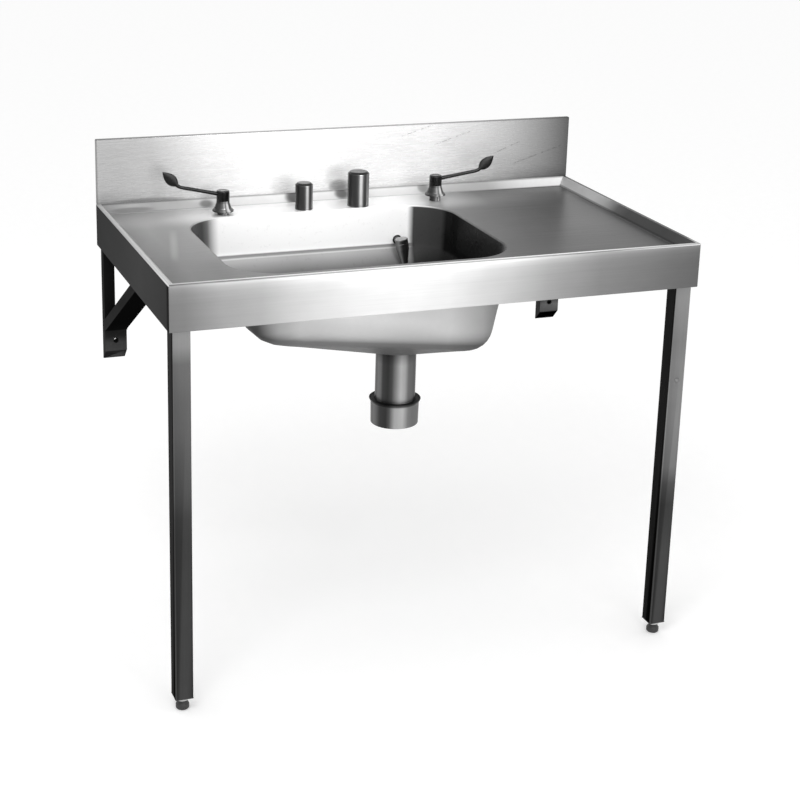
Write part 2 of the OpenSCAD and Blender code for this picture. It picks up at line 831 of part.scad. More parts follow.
// Lever: hub, rising rod, knuckle and leaf-shaped blade
module lever_solid(side) {
    r = hub_d / 2;
    round = 4;
    color("dimgray") translate([0, 0, rise(side)]) difference() {
        union() {
            translate([0, 0, hub_z]) rotate_extrude() {
                square([r, hub_h - round]);
                square([r - round, hub_h]);
                translate([r - round, hub_h - round]) circle(r = round);
            }
            translate([0, 0, rod_z]) rotate([0, (90 - rod_rise) * side, 0])
                cylinder(d = rod_d, h = rod_reach / cos(rod_rise));
            translate([rod_end_x * side, 0, rod_end_z]) rotate([90, 0, 0])
                cylinder(d = rod_d + 1, h = rod_d + 1, center = true);
            translate([rod_end_x * side, 0, rod_end_z]) rotate([0, -blade_rise * side, 0])
                translate([(blade_len / 2 - 2) * side, blade_t / 2, 0]) rotate([90, 0, 0])
                    linear_extrude(blade_t) intersection() {
                        translate([0, blade_r - blade_w / 2]) circle(r = blade_r);
                        translate([0, blade_w / 2 - blade_r]) circle(r = blade_r);
                    }
        }
        translate([0, 0, hub_z - over])
            cylinder(d = spindle_d - 2 + 2 * run_fit, h = hub_h - 6 + over);
        translate([0, 0, hub_z]) cylinder(d = lever_bolt_d + 0.4, h = hub_h + over);
        translate([0, 0, hub_z + hub_h - 3]) cylinder(d = 14.4, h = 3 + over);
    }
}

// Screw with its round index cap in the lever hub's top
module lever_screw_solid(side) {
    color("silver") translate([0, 0, hub_z + rise(side) + hub_h - 3]) {
        cylinder(d = 14, h = 3);
        translate([0, 0, -4]) cylinder(d = lever_bolt_d, h = 4 + over);
    }
}

module left_valve_body() { at_valve(left_valve_x) valve_body_solid(-1); }
module right_valve_body() { at_valve(right_valve_x) valve_body_solid(1); }
module left_valve_washer() { at_valve(left_valve_x) valve_washer_solid(); }
module right_valve_washer() { at_valve(right_valve_x) valve_washer_solid(); }
module left_valve_nut() { at_valve(left_valve_x) valve_nut_solid(-1); }
module right_valve_nut() { at_valve(right_valve_x) valve_nut_solid(1); }
module left_valve_cover() { at_valve(left_valve_x) valve_cover_solid(-1); }
module right_valve_cover() { at_valve(right_valve_x) valve_cover_solid(1); }
module left_valve_spindle() { at_valve(left_valve_x) valve_spindle_solid(-1); }
module right_valve_spindle() { at_valve(right_valve_x) valve_spindle_solid(1); }
module left_lever() { at_valve(left_valve_x) rotate([0, 0, left_rest]) lever_solid(-1); }
module right_lever() { at_valve(right_valve_x) rotate([0, 0, -right_rest]) lever_solid(1); }
module left_lever_screw() { at_valve(left_valve_x) lever_screw_solid(-1); }
module right_lever_screw() { at_valve(right_valve_x) lever_screw_solid(1); }

// Vacuum breakers, drawn round their own axis with the deck's upper face at zero

// Body: block under the deck, threaded neck and float seat; side points to the feed boss,
// and the lower stub is turned to the outlet pipe
module breaker_body_solid(side, h) {
    block_bottom = -breaker_block;
    neck_top = h - cap_wall - neck_gap;
    color("goldenrod") difference() {
        union() {
            translate([0, 0, block_bottom]) cylinder(d = block_d, h = breaker_block + block_top);
            translate([0, 0, block_top - over]) cylinder(d = tail_d, h = neck_top - block_top + over);
            translate([0, 0, -feed_drop]) rotate([0, 90 * side, 0])
                cylinder(d = pipe_nut_af, h = block_d / 2 + boss_len);
        }
        translate([0, 0, block_bottom - over])
            cylinder(d = pipe_d - 2 * pipe_wall, h = breaker_block + seat_up + over);
        translate([0, 0, seat_up]) cylinder(d = neck_bore, h = h);
        translate([0, 0, -feed_drop]) rotate([0, 90 * side, 0])
            cylinder(d = pipe_d - 2 * pipe_wall, h = block_d / 2 + boss_len + over);
    }
}

// Thin disc with a guide pin that lifts under flow
module breaker_float_solid() {
    color("black") translate([0, 0, seat_up]) {
        cylinder(d = neck_bore - 1, h = float_t);
        cylinder(d = 4, h = float_pin);
    }
}

module breaker_nut_solid() {
    color("goldenrod") difference() {
        hex(breaker_nut_af, breaker_nut_h);
        translate([0, 0, -over]) cylinder(d = tail_d + 0.1, h = breaker_nut_h + 2 * over);
    }
}

// Cap: a bright sleeve with a chamfered top, standing on the deck; the stem inside it stops the float
module breaker_cap_solid(d, h) {
    r = d / 2;
    c = 3;
    w = cap_wall;
    stem = neck_bore / 2 - 0.1;
    stem_z = seat_up + float_t + float_lift + 0.2;
    shoulder = h - w - neck_gap + 0.1;
    color("gray") rotate_extrude() polygon([
        [r, 0], [r, h - c], [r - c, h], [0, h], [0, h - w - 6], [stem - 2, h - w - 6],
        [stem - 2, stem_z], [stem, stem_z], [stem, shoulder], [tail_d / 2, shoulder],
        [tail_d / 2, h - w], [r - c, h - w], [r - w, h - c - w / 2], [r - w, 0]
    ]);
}

module small_breaker_body() { at_valve(small_x) breaker_body_solid(-1, small_h); }
module large_breaker_body() { at_valve(large_x) breaker_body_solid(1, large_h); }
module small_breaker_washer() { at_valve(small_x) valve_washer_solid(); }
module large_breaker_washer() { at_valve(large_x) valve_washer_solid(); }
module small_breaker_nut() { at_valve(small_x) breaker_nut_solid(); }
module large_breaker_nut() { at_valve(large_x) breaker_nut_solid(); }
module small_breaker_float() { at_valve(small_x) breaker_float_solid(); }
module large_breaker_float() { at_valve(large_x) breaker_float_solid(); }
module small_breaker_cap() { at_valve(small_x) breaker_cap_solid(small_d, small_h); }
module large_breaker_cap() { at_valve(large_x) breaker_cap_solid(large_d, large_h); }

// Pipework between the valves, the breakers and the jet

module feed_pipe(a, b) {
    color("tan") bent_pipe([[a, fixture_y, feed_z], [b, fixture_y, feed_z]]);
}

module left_feed_pipe() { feed_pipe(left_valve_x + boss_x, small_x - boss_x); }
module right_feed_pipe() { feed_pipe(large_x + boss_x, right_valve_x - boss_x); }

// From under the small breaker to the tee
module small_outlet_pipe() {
    color("tan") bent_pipe([[small_x, fixture_y, deck_z - breaker_block], [small_x, fixture_y, jet_z],
        [large_x - tee_half, fixture_y, jet_z]]);
}

// From the tee to the jet's tail behind the bowl
module jet_pipe() {
    color("tan") bent_pipe([[large_x + tee_half, fixture_y, jet_z], [jet_x, fixture_y, jet_z],
        [jet_x, jet_tail_end, jet_z]]);
}

// Tee under the large breaker, where the two supplies meet
module mixing_tee() {
    top = deck_z - breaker_block;
    bore = pipe_d / 2 - pipe_wall;
    color("goldenrod") difference() {
        union() {
            pipe_run([large_x - tee_half, fixture_y, jet_z], [large_x + tee_half, fixture_y, jet_z], tee_r);
            pipe_run([large_x, fixture_y, jet_z], [large_x, fixture_y, top], tee_r - 1);
        }
        pipe_run([large_x - tee_half - over, fixture_y, jet_z],
            [large_x + tee_half + over, fixture_y, jet_z], bore);
        pipe_run([large_x, fixture_y, jet_z], [large_x, fixture_y, top + over], bore);
    }
}

// Spray jet inside the bowl: tail through the back wall, flange, head and cone
module spray_jet() {
    tail_r = pipe_d / 2;
    color("silver") difference() {
        union() {
            pipe_run([jet_x, jet_axis_y, jet_z], [jet_x, jet_tail_end, jet_z], tail_r);
            pipe_run([jet_x, jet_flange_y, jet_z], [jet_x, jet_flange_y + jet_flange_t, jet_z],
                tail_r + 3.5);
            translate([jet_x, jet_axis_y, jet_z]) rotate([0, -jet_lean, 0]) {
                translate([0, 0, -jet_r + 1]) cylinder(r = jet_r, h = jet_r + 9);
                translate([0, 0, -jet_r + 1 - jet_cone])
                    cylinder(r1 = jet_r / 2, r2 = jet_r, h = jet_cone);
            }
        }
        pipe_run([jet_x, jet_axis_y, jet_z], [jet_x, jet_tail_end + over, jet_z], tail_r - 3);
        translate([jet_x, jet_axis_y, jet_z]) rotate([0, -jet_lean, 0])
            translate([0, 0, -jet_r - jet_cone]) cylinder(r = jet_r / 2 - 2, h = jet_r + jet_cone);
    }
}

// A hexagon nut round a pipe from the point a along the direction d
module pipe_nut(a, d) {
    translate(a) aim(d) difference() {
        hex(pipe_nut_af, pipe_nut_h);
        translate([0, 0, -over]) cylinder(d = pipe_d + 0.1, h = pipe_nut_h + 2 * over);
    }
}

// Nuts on the feed pipes, on both sides of the tee and behind the bowl
module pipe_nuts() {
    color("goldenrod") {
        pipe_nut([left_valve_x + boss_x, fixture_y, feed_z], [1, 0, 0]);
        pipe_nut([small_x - boss_x, fixture_y, feed_z], [-1, 0, 0]);
        pipe_nut([large_x + boss_x, fixture_y, feed_z], [1, 0, 0]);
        pipe_nut([right_valve_x - boss_x, fixture_y, feed_z], [-1, 0, 0]);
        pipe_nut([large_x - tee_half, fixture_y, jet_z], [-1, 0, 0]);
        pipe_nut([large_x + tee_half, fixture_y, jet_z], [1, 0, 0]);
        pipe_nut([jet_x, jet_nut_y, jet_z], [0, 1, 0]);
    }
}

// Waste

// Outlet pipe welded into the sump
module outlet_pipe() {
    weld_d = outlet_d + 2 * weld_ring;
    color("silver") translate([outlet_x, outlet_y, 0]) difference() {
        union() {
            translate([0, 0, outlet_end]) cylinder(d = outlet_d, h = sump_z - outlet_end);
            translate([0, 0, sump_z - 2 * sheet]) cylinder(d = weld_d, h = sheet);
        }
        translate([0, 0, outlet_end - over])
            cylinder(d = outlet_d - 2 * outlet_wall, h = sump_z - outlet_end + 2 * over);
    }
}

// Lift-out grating with two rings of holes and a lifting knob
module waste_grate() {
    step = grate_d / 6.2;
    color("silver") translate([outlet_x, outlet_y, sump_z]) {
        difference() {
            cylinder(d = grate_d, h = grate_t);
            for (k = [1:2], i = [0:6 * k - 1]) {
                rotate([0, 0, i * 60 / k]) translate([k * step, 0, -over])
                    cylinder(d = grate_hole_d, h = grate_t + 2 * over);
            }
        }
        translate([0, 0, grate_t - 0.5]) cylinder(d = 5, h = 7);
        translate([0, 0, grate_t + 6]) cylinder(d = 12, h = 4);
    }
}

// Rubber seal that fills the gap between the outlet pipe and the collar
module coupling_seal() {
    bore = outlet_d / 2 + 0.1;
    body = collar_in / 2 + seal_pocket - 0.1;
    color("black") translate([outlet_x, outlet_y, collar_top]) rotate_extrude() polygon([
        [bore, -collar_grip], [body, -collar_grip], [body, -lip_h],
        [body + lip_out * (1 - seal_down / lip_h), -seal_down], [bore, -seal_down]
    ]);
}

// Collar with a flared lip; its lower end takes the drain
module coupling_collar() {
    r_in = collar_in / 2;
    r_out = collar_d / 2;
    pocket = r_in + seal_pocket;
    color("dimgray") translate([outlet_x, outlet_y, collar_top]) rotate_extrude() polygon([
        [r_in, -collar_len], [r_out - collar_taper, -collar_len], [r_out, -lip_h],
        [r_out + lip_out, 0], [pocket + lip_out, 0], [pocket, -lip_h],
        [pocket, -collar_grip], [r_in, -collar_grip]
    ]);
}

worktop();
upstand();
bowl();
front_rail();
deadening_pad();
earth_tag();
left_leg_socket();
right_leg_socket();
left_leg();
right_leg();
leg_bolts();
leg_side_screw();
left_leg_plug();
right_leg_plug();
foot_locknuts();
left_foot();
right_foot();
left_arm();
right_arm();
left_post();
right_post();
left_brace();
right_brace();
arm_bolts();
left_valve_body();
left_valve_washer();
left_valve_nut();
left_valve_cover();
left_valve_spindle();
left_lever();
left_lever_screw();
right_valve_body();
right_valve_washer();
right_valve_nut();
right_valve_cover();
right_valve_spindle();
right_lever();
right_lever_screw();
small_breaker_body();
small_breaker_washer();
small_breaker_nut();
small_breaker_float();
small_breaker_cap();
large_breaker_body();
large_breaker_washer();
large_breaker_nut();
large_breaker_float();
large_breaker_cap();
left_feed_pipe();
right_feed_pipe();
mixing_tee();
small_outlet_pipe();
jet_pipe();
spray_jet();
pipe_nuts();
outlet_pipe();
waste_grate();
coupling_seal();
coupling_collar();
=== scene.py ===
# %% [markdown]
# # A sluice sink in stainless steel
# The imported model is a frame of plain solids in metres. This lesson dresses it: folded sheet gets its
# small round folds, the pressed bowl its soft bottom, tubes their drawn corners, and every surface a
# finish, with much of its light and shade painted into its colour. A new piece is laid exactly where its
# solid is, and then it stands for that solid.

# %% The frame
import math
import bmesh
import bpy
from mathutils import Matrix, Vector
from mathutils.bvhtree import BVHTree


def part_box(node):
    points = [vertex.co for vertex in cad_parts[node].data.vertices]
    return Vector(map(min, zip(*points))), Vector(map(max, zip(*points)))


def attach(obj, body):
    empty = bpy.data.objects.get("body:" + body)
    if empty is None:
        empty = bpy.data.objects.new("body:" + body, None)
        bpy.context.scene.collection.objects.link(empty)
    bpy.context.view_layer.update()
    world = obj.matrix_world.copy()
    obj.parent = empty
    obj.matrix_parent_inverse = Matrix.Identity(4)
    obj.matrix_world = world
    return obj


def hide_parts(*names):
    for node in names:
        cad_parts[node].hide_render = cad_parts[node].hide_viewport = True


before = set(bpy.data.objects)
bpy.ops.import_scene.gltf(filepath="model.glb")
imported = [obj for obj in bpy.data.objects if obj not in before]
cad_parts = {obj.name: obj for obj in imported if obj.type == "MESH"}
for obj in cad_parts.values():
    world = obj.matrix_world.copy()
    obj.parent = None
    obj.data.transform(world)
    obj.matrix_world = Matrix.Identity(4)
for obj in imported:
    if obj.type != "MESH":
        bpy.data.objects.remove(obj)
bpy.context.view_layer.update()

scene = bpy.context.scene

# %% [markdown]
# ## Camera, light and floor
# The photograph is taken from the left and a little above, with a long lens, so upright edges stay
# almost parallel. A camera can be turned by hand or worked out from known corners; here its place and
# angles come from the rim, the upstand and the legs, and a small lens shift keeps the legs in the frame.

# %% The camera
def look(azimuth, elevation, roll):
    """A camera's turn, in degrees: to the right of the front, above level, and its own tilt."""
    a, e, r = (math.radians(v) for v in (azimuth, elevation, roll))
    forward = Vector((-math.sin(a) * math.cos(e), math.cos(a) * math.cos(e), -math.sin(e)))
    level = forward.cross(Vector((0, 0, 1))).normalized()
    above = level.cross(forward)
    right = level * math.cos(r) + above * math.sin(r)
    return Matrix((right, right.cross(forward), -forward)).transposed()


FILM_WIDTH, LENS, SHIFT = 36.0, 79.97, -0.1
AZIMUTH, ELEVATION, ROLL = -21.49, 17.59, 1.68
EYE_PLACE = (-1.3426, -3.4771, 1.8839)
eye = bpy.data.cameras.new("eye")
eye.sensor_width, eye.lens, eye.shift_y = FILM_WIDTH, LENS, SHIFT
eye_obj = bpy.data.objects.new("eye", eye)
scene.collection.objects.link(eye_obj)
eye_obj.matrix_world = look(AZIMUTH, ELEVATION, ROLL).to_4x4()
eye_obj.location = EYE_PLACE
scene.camera = eye_obj
print("lens", eye.lens, "mm")

# %% [markdown]
# Steel shows what stands round it. In a white studio it shows white, so the world is plain white for
# the camera and for reflections, a little lower for soft light. Two large lamps give the shapes their
# direction, and a small one lights the bowl's back wall. The floor is a pale sheet under a soft shadow.

# %% Studio
scene.view_settings.view_transform = "Standard"


def node(tree, kind, inputs=(), **settings):
    """Adds a node; each input, by name or number, is linked to a socket or set to a value."""
    made = tree.nodes.new(kind)
    for key, value in settings.items():
        setattr(made, key, value)
    for key, value in (inputs.items() if isinstance(inputs, dict) else enumerate(inputs)):
        if isinstance(value, bpy.types.NodeSocket):
            tree.links.new(value, made.inputs[key])
        elif value is not None:
            made.inputs[key].default_value = value
    return made


def result(tree, kind, inputs=(), **settings):
    """Adds a node and gives its first output."""
    return node(tree, kind, inputs, **settings).outputs[0]


def calc(tree, operation, a, b=None, clamp=False):
    """One step of arithmetic."""
    return result(tree, "ShaderNodeMath", [a, b], operation=operation, use_clamp=clamp)


def seen_or_mirrored(tree):
    """One for the camera's own view and for what steel mirrors, nought for soft light."""
    ray = node(tree, "ShaderNodeLightPath").outputs
    both = calc(tree, "ADD", ray["Is Camera Ray"], ray["Is Glossy Ray"])
    return calc(tree, "ADD", both, ray["Is Transmission Ray"], True)


SOFT_LIGHT = 0.86
studio = bpy.data.worlds.new("studio")
scene.world = studio
studio.use_nodes = True
tree = studio.node_tree
tree.nodes.clear()
level = result(tree, "ShaderNodeMapRange", [seen_or_mirrored(tree), 0.0, 1.0, SOFT_LIGHT, 1.0])
sky = result(tree, "ShaderNodeBackground", {"Color": (1, 1, 1, 1), "Strength": level})
node(tree, "ShaderNodeOutputWorld", {"Surface": sky})


def lamp(name, kind, place, target, power, **settings):
    """Adds a lamp at its place, turned to its target."""
    data = bpy.data.lights.new(name, kind)
    data.energy = power
    for key, value in settings.items():
        setattr(data, key, value)
    obj = bpy.data.objects.new(name, data)
    scene.collection.objects.link(obj)
    obj.location = place
    obj.rotation_euler = (Vector(target) - Vector(place)).to_track_quat("-Z", "Y").to_euler()


lamp("key_lamp", "AREA", (-1.6, -2.2, 3.6), (0, 0, 0.8), 34, shape="DISK", size=1.6)
lamp("front_lamp", "AREA", (0.3, -4.2, 1.5), (0, 0, 0.8), 40, shape="DISK", size=2.4)
lamp("bowl_spot", "SPOT", (-0.1, -1.3, 2.05), (-0.1, 0.24, 0.89), 62, spot_size=math.radians(30),
     spot_blend=1.0, shadow_soft_size=0.25)

# %% [markdown]
# ## Small tools
# Some ways of making metal parts come back again and again: rounding the corners of a profile, turning
# it on a lathe, and softening the sharp edges of a plain solid. Each gets one short helper.

# %% Round the corners of a profile
MOST = 0.48


def filleted(points, steps=5, closed=False, support=0.0004):
    """Points (a, b, radius); gives the profile with round corners and a short flat beside each.
    A corner takes at most the share MOST of the sides beside it."""
    out, count = [], len(points)
    for i, (x, y, r) in enumerate(points):
        p = Vector((x, y))
        if r <= 0 or (not closed and i in (0, count - 1)):
            out.append(p)
            continue
        u = Vector(points[i - 1][:2]) - p
        v = Vector(points[(i + 1) % count][:2]) - p
        half = u.angle(v) / 2
        t = min(r / math.tan(half), MOST * u.length, MOST * v.length)
        u.normalize()
        v.normalize()
        r = t * math.tan(half)
        c = p + (u + v).normalized() * (r / math.sin(half))
        a0 = math.atan2(*(p + u * t - c).yx)
        turn = (math.atan2(*(p + v * t - c).yx) - a0 + math.pi) % (2 * math.pi) - math.pi
        arc = [c + r * Vector((math.cos(a0 + turn * k / steps), math.sin(a0 + turn * k / steps)))
               for k in range(steps + 1)]
        out += [p + u * (t + support), *arc, p + v * (t + support)]
    return out


# %% Turn a profile on a lathe
ON_AXIS = 1e-6


def lathe(bm, profile, steps, place, closed=False):
    """Adds the round body of a profile (radius, height) to bm."""
    rings = []
    for r, z in profile:
        if r < ON_AXIS:
            rings.append([bm.verts.new(place @ Vector((0, 0, z)))])
            continue
        rings.append([bm.verts.new(place @ Vector((r * math.cos(t), r * math.sin(t), z)))
                      for t in (2 * math.pi * k / steps for k in range(steps))])
    made = []
    for a, b in zip(rings, rings[1:] + ([rings[0]] if closed else [])):
        for k in range(steps):
            j = (k + 1) % steps
            if len(a) == 1 and len(b) == 1:
                continue
            if len(a) == 1:
                made.append(bm.faces.new((a[0], b[j], b[k])))
            elif len(b) == 1:
                made.append(bm.faces.new((a[k], a[j], b[0])))
            else:
                made.append(bm.faces.new((a[k], a[j], b[j], b[k])))
    bmesh.ops.recalc_face_normals(bm, faces=made)


def lathed(bm, points, place, steps=72, arc=3, closed=False, support=0.0002):
    """Turns a profile of corners (radius, height, rounding) and adds it to bm."""
    lathe(bm, filleted(points, arc, closed, support), steps, place, closed)


def upright(x, y):
    """The place of an upright axis."""
    return Matrix.Translation((x, y, 0))


def middle(name):
    """The lowest corner, the highest corner and the middle of a solid's box."""
    low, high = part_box(name)
    return low, high, (low + high) / 2


# %% Lay a finished piece in the frame
def lay(name, mesh, finishes, body, nodes=(), sharp=32):
    """Makes the object of a piece, with its finish, its body and the solids that it stands for."""
    mesh.name = name
    if finishes:
        kept = [p.material_index for p in mesh.polygons]
        mesh.materials.clear()
        for f in finishes:
            mesh.materials.append(f)
        mesh.polygons.foreach_set("material_index", kept)
    mesh.shade_smooth()
    mesh.set_sharp_from_angle(angle=math.radians(sharp))
    obj = bpy.data.objects.new(name, mesh)
    scene.collection.objects.link(obj)
    if nodes:
        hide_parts(*nodes)
    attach(obj, body)
    print(name, len(mesh.polygons), "faces")
    return obj


def settled(obj):
    """Gives the plain mesh that an object's modifiers make, and removes the object."""
    source = obj.data
    done = bpy.data.meshes.new_from_object(obj.evaluated_get(bpy.context.evaluated_depsgraph_get()))
    bpy.data.objects.remove(obj)
    bpy.data.meshes.remove(source)
    return done


def made_from(bm, modifiers=(), slots=1):
    """Turns bm into a mesh with the modifiers (kind, settings) worked in."""
    mesh = bpy.data.meshes.new("work")
    bm.to_mesh(mesh)
    bm.free()
    for _ in range(slots):
        mesh.materials.append(None)
    if not modifiers:
        return mesh
    obj = bpy.data.objects.new("work", mesh)
    scene.collection.objects.link(obj)
    for kind, settings in modifiers:
        mod = obj.modifiers.new(kind, kind)
        for key, value in settings.items():
            setattr(mod, key, value)
    return settled(obj)


def loosened(mesh):
    """A grown mesh as a bmesh whose faces all look the same way."""
    bm = bmesh.new()
    bm.from_mesh(mesh)
    bpy.data.meshes.remove(mesh)
    bmesh.ops.recalc_face_normals(bm, faces=bm.faces)
    return bm


def look_out(bm, face, way):
    """Turns a sheet round if this face of it looks against the way that it should."""
    if face.normal.dot(way) < 0:
        bmesh.ops.reverse_faces(bm, faces=bm.faces)


def joined_rows(bm, rows, closed=False):
    """Fills the faces between rows of points that each run all the way round."""
    for a, b in zip(rows, rows[1:] + (rows[:1] if closed else [])):
        for i in range(len(a)):
            j = (i + 1) % len(a)
            bm.faces.new((a[i], b[i], b[j], a[j]))
    bmesh.ops.recalc_face_normals(bm, faces=bm.faces)


def wall(t):
    """Gives a sheet its thickness, inwards from the side that is seen."""
    return "SOLIDIFY", dict(thickness=t, offset=-1.0, use_even_offset=True, use_quality_normals=True)


# %% Soften a solid of the frame
def softened(node_name, width, steps=2):
    """A copy of a solid, its triangles joined to whole faces and its sharp edges made round."""
    bm = bmesh.new()
    bm.from_mesh(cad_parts[node_name].data)
    bmesh.ops.remove_doubles(bm, verts=bm.verts, dist=2e-5)
    bmesh.ops.dissolve_limit(bm, angle_limit=math.radians(0.8), verts=bm.verts, edges=bm.edges)
    bmesh.ops.recalc_face_normals(bm, faces=bm.faces)
    return made_from(bm, [
        ("BEVEL", dict(width=width, segments=steps, limit_method="ANGLE",
                       angle_limit=math.radians(35), use_clamp_overlap=False)),
        ("WEIGHTED_NORMAL", dict(keep_sharp=True)),
    ])


# %% [markdown]
# ## Finishes
# Satin steel is not one grey. It is rolled and brushed, so fine lines run along the sheet, and what it
# mirrors is drawn out into broad light and dark bands that stay with the folds of the piece. These
# bands are painted into the colour, as painted reflections: a few ramps along the piece's own axes that
# work from every side. One function makes every steel: painted light and shade, brushing, slow clouds,
# and small scratches.

# %% Shader tools
def times(tree, first, *rest):
    """All the values multiplied with each other."""
    for value in rest:
        first = calc(tree, "MULTIPLY", first, value)
    return first


def scaled(tree, value, gain, base):
    """The value times a gain, plus a base."""
    return result(tree, "ShaderNodeMath", [value, gain, base], operation="MULTIPLY_ADD")


def fade(tree, value, start, end, low=0.0, high=1.0, kind="LINEAR"):
    """Goes from low to high while value goes from start to end."""
    return result(tree, "ShaderNodeMapRange", [value, start, end, low, high], interpolation_type=kind)


def ramp(tree, value, stops):
    """A grey that follows value through the stops (place, grey)."""
    low, high = stops[0][0], stops[-1][0]
    made = node(tree, "ShaderNodeValToRGB", [fade(tree, value, low, high)])
    keys = made.color_ramp.elements
    made.color_ramp.interpolation = "LINEAR"
    while len(keys) < len(stops):
        keys.new(0.5)
    for key, (place, grey) in zip(keys, stops):
        key.position = (place - low) / (high - low)
        key.color = (grey, grey, grey, 1)
    return made.outputs[0]


def blend(tree, factor, a, b):
    """Gives a where the factor is 0 and b where it is 1."""
    return result(tree, "ShaderNodeMix", {"Factor": factor, 2: a, 3: b}, data_type="FLOAT")


def cloud(tree, place, scale, detail, rough=0.55):
    """Noise with its own scale along each axis."""
    stretched = result(tree, "ShaderNodeMapping", {"Vector": place, "Scale": scale})
    return result(tree, "ShaderNodeTexNoise", {"Vector": stretched, "Scale": 1.0, "Detail": detail,
                                               "Roughness": rough})


def axes(tree):
    """Object coordinates and the surface's direction, each as a vector and split in X, Y, Z."""
    place = node(tree, "ShaderNodeTexCoord").outputs["Object"]
    normal = node(tree, "ShaderNodeNewGeometry").outputs["Normal"]
    return place, node(tree, "ShaderNodeSeparateXYZ", [place]).outputs, \
        node(tree, "ShaderNodeSeparateXYZ", [normal]).outputs


def blank(name):
    """A new finish with an empty node tree."""
    made = bpy.data.materials.new(name)
    made.use_nodes = True
    made.node_tree.nodes.clear()
    return made, made.node_tree


GRAIN_DEPTH = 0.0004


def close_finish(tree, channels, grain, dull, bump, metal, shine):
    """Every finish ends the same way: its colour, and a dullness and a relief that follow its grain."""
    relief = result(tree, "ShaderNodeBump", {"Strength": bump, "Distance": GRAIN_DEPTH, "Height": grain})
    skin = result(tree, "ShaderNodeBsdfPrincipled", {
        "Base Color": result(tree, "ShaderNodeCombineColor", channels),
        "Roughness": fade(tree, grain, 0.3, 0.7, *dull), "Normal": relief, "Metallic": metal,
        "Specular IOR Level": shine})
    node(tree, "ShaderNodeOutputMaterial", [skin])


# %% Brushed metal
def brushed(name, tone, grain=(3, 260, 260), rough=0.3, tint=(1, 1, 1), lines=0.1, clouds=0.14,
            bump=0.06, metal=0.45, shine=0.3, extra=None):
    """Metal brushed along its grain; its grey and any painted light come from tone(tree, place, xyz,
    normal).
    """
    made, tree = blank(name)
    place, xyz, normal = axes(tree)
    grey = tone(tree, place, xyz, normal) if callable(tone) else tone
    hair = cloud(tree, place, grain, 4.0, 0.7)
    slow = cloud(tree, place, (5, 5, 7), 3.0, 0.6)
    grey = times(tree, grey, scaled(tree, hair, 2 * lines, 1 - lines),
                 scaled(tree, slow, 2 * clouds, 1 - clouds))
    if extra:
        grey = extra(tree, place, xyz, normal, grey)
    close_finish(tree, [calc(tree, "MULTIPLY", grey, c, True) for c in tint], hair,
                 (rough - 0.05, rough + 0.07), bump, metal, shine)
    return made


# %% [markdown]
# ## Geometry rules
# A pipe, a square tube, a thread and a weld all follow a path, and holes in a grating repeat on rings.
# Geometry Nodes say such a rule once, with its sizes as named inputs, and the result is then turned into
# a plain mesh.

# %% Trees and how one is grown
def rule(name, sizes):
    """A new node tree; gives the tree, its named inputs and the place where its result goes."""
    tree = bpy.data.node_groups.new(name, "GeometryNodeTree")
    tree.interface.new_socket("Geometry", in_out="INPUT", socket_type="NodeSocketGeometry")
    for label, kind in sizes:
        tree.interface.new_socket(label, in_out="INPUT", socket_type="NodeSocket" + kind)
    tree.interface.new_socket("Geometry", in_out="OUTPUT", socket_type="NodeSocketGeometry")
    return tree, tree.nodes.new("NodeGroupInput").outputs, tree.nodes.new("NodeGroupOutput").inputs[0]


def joined(tree, *parts):
    """All the parts as one geometry, in this order."""
    made = node(tree, "GeometryNodeJoinGeometry")
    for part in parts:
        tree.links.new(part, made.inputs[0])
    return made.outputs[0]


def close_rule(tree, geometry, given, leave):
    """Every rule ends the same way: real faces, with their finish set."""
    real = result(tree, "GeometryNodeRealizeInstances", [geometry])
    done = result(tree, "GeometryNodeSetMaterial", {"Geometry": real, "Material": given["Finish"]})
    tree.links.new(done, leave)


def grown(tree, sizes, path=(), closed=False):
    """Grows a rule along a path of points and gives the plain mesh."""
    line = bpy.data.meshes.new("path")
    edges = [(i, i + 1) for i in range(len(path) - 1)] + ([(len(path) - 1, 0)] if closed else [])
    line.from_pydata([tuple(p) for p in path], edges, [])
    obj = bpy.data.objects.new("path", line)
    scene.collection.objects.link(obj)
    mod = obj.modifiers.new("rule", "NODES")
    mod.node_group = tree
    for item in tree.interface.items_tree:
        if item.item_type == "SOCKET" and item.in_out == "INPUT" and item.name in sizes:
            mod[item.identifier] = sizes[item.name]
    return settled(obj)


# %% The rule of a round pipe
pipe_rule, given, leave = rule("round_pipe", [
    ("Radius", "Float"), ("Bend", "Float"), ("Finish", "Material")])
run = result(pipe_rule, "GeometryNodeMeshToCurve", [given[0]])
run = result(pipe_rule, "GeometryNodeFilletCurve", {
    "Curve": run, "Count": 10, "Radius": given["Bend"]}, mode="POLY")
ring = result(pipe_rule, "GeometryNodeCurvePrimitiveCircle", {"Resolution": 32, "Radius": given["Radius"]})
skin = result(pipe_rule, "GeometryNodeCurveToMesh", {"Curve": run, "Profile Curve": ring})
close_rule(pipe_rule, skin, given, leave)

# %% The rule of a square tube
tube_rule, given, leave = rule("square_tube", [
    ("Width", "Float"), ("Depth", "Float"), ("Corner", "Float"), ("Finish", "Material")])
run = result(tube_rule, "GeometryNodeMeshToCurve", [given[0]])
square = result(tube_rule, "GeometryNodeCurvePrimitiveQuadrilateral", {
    "Width": given["Width"], "Height": given["Depth"]})
square = result(tube_rule, "GeometryNodeFilletCurve", {
    "Curve": square, "Count": 5, "Radius": given["Corner"]}, mode="POLY")
skin = result(tube_rule, "GeometryNodeCurveToMesh", {"Curve": run, "Profile Curve": square})
close_rule(tube_rule, skin, given, leave)

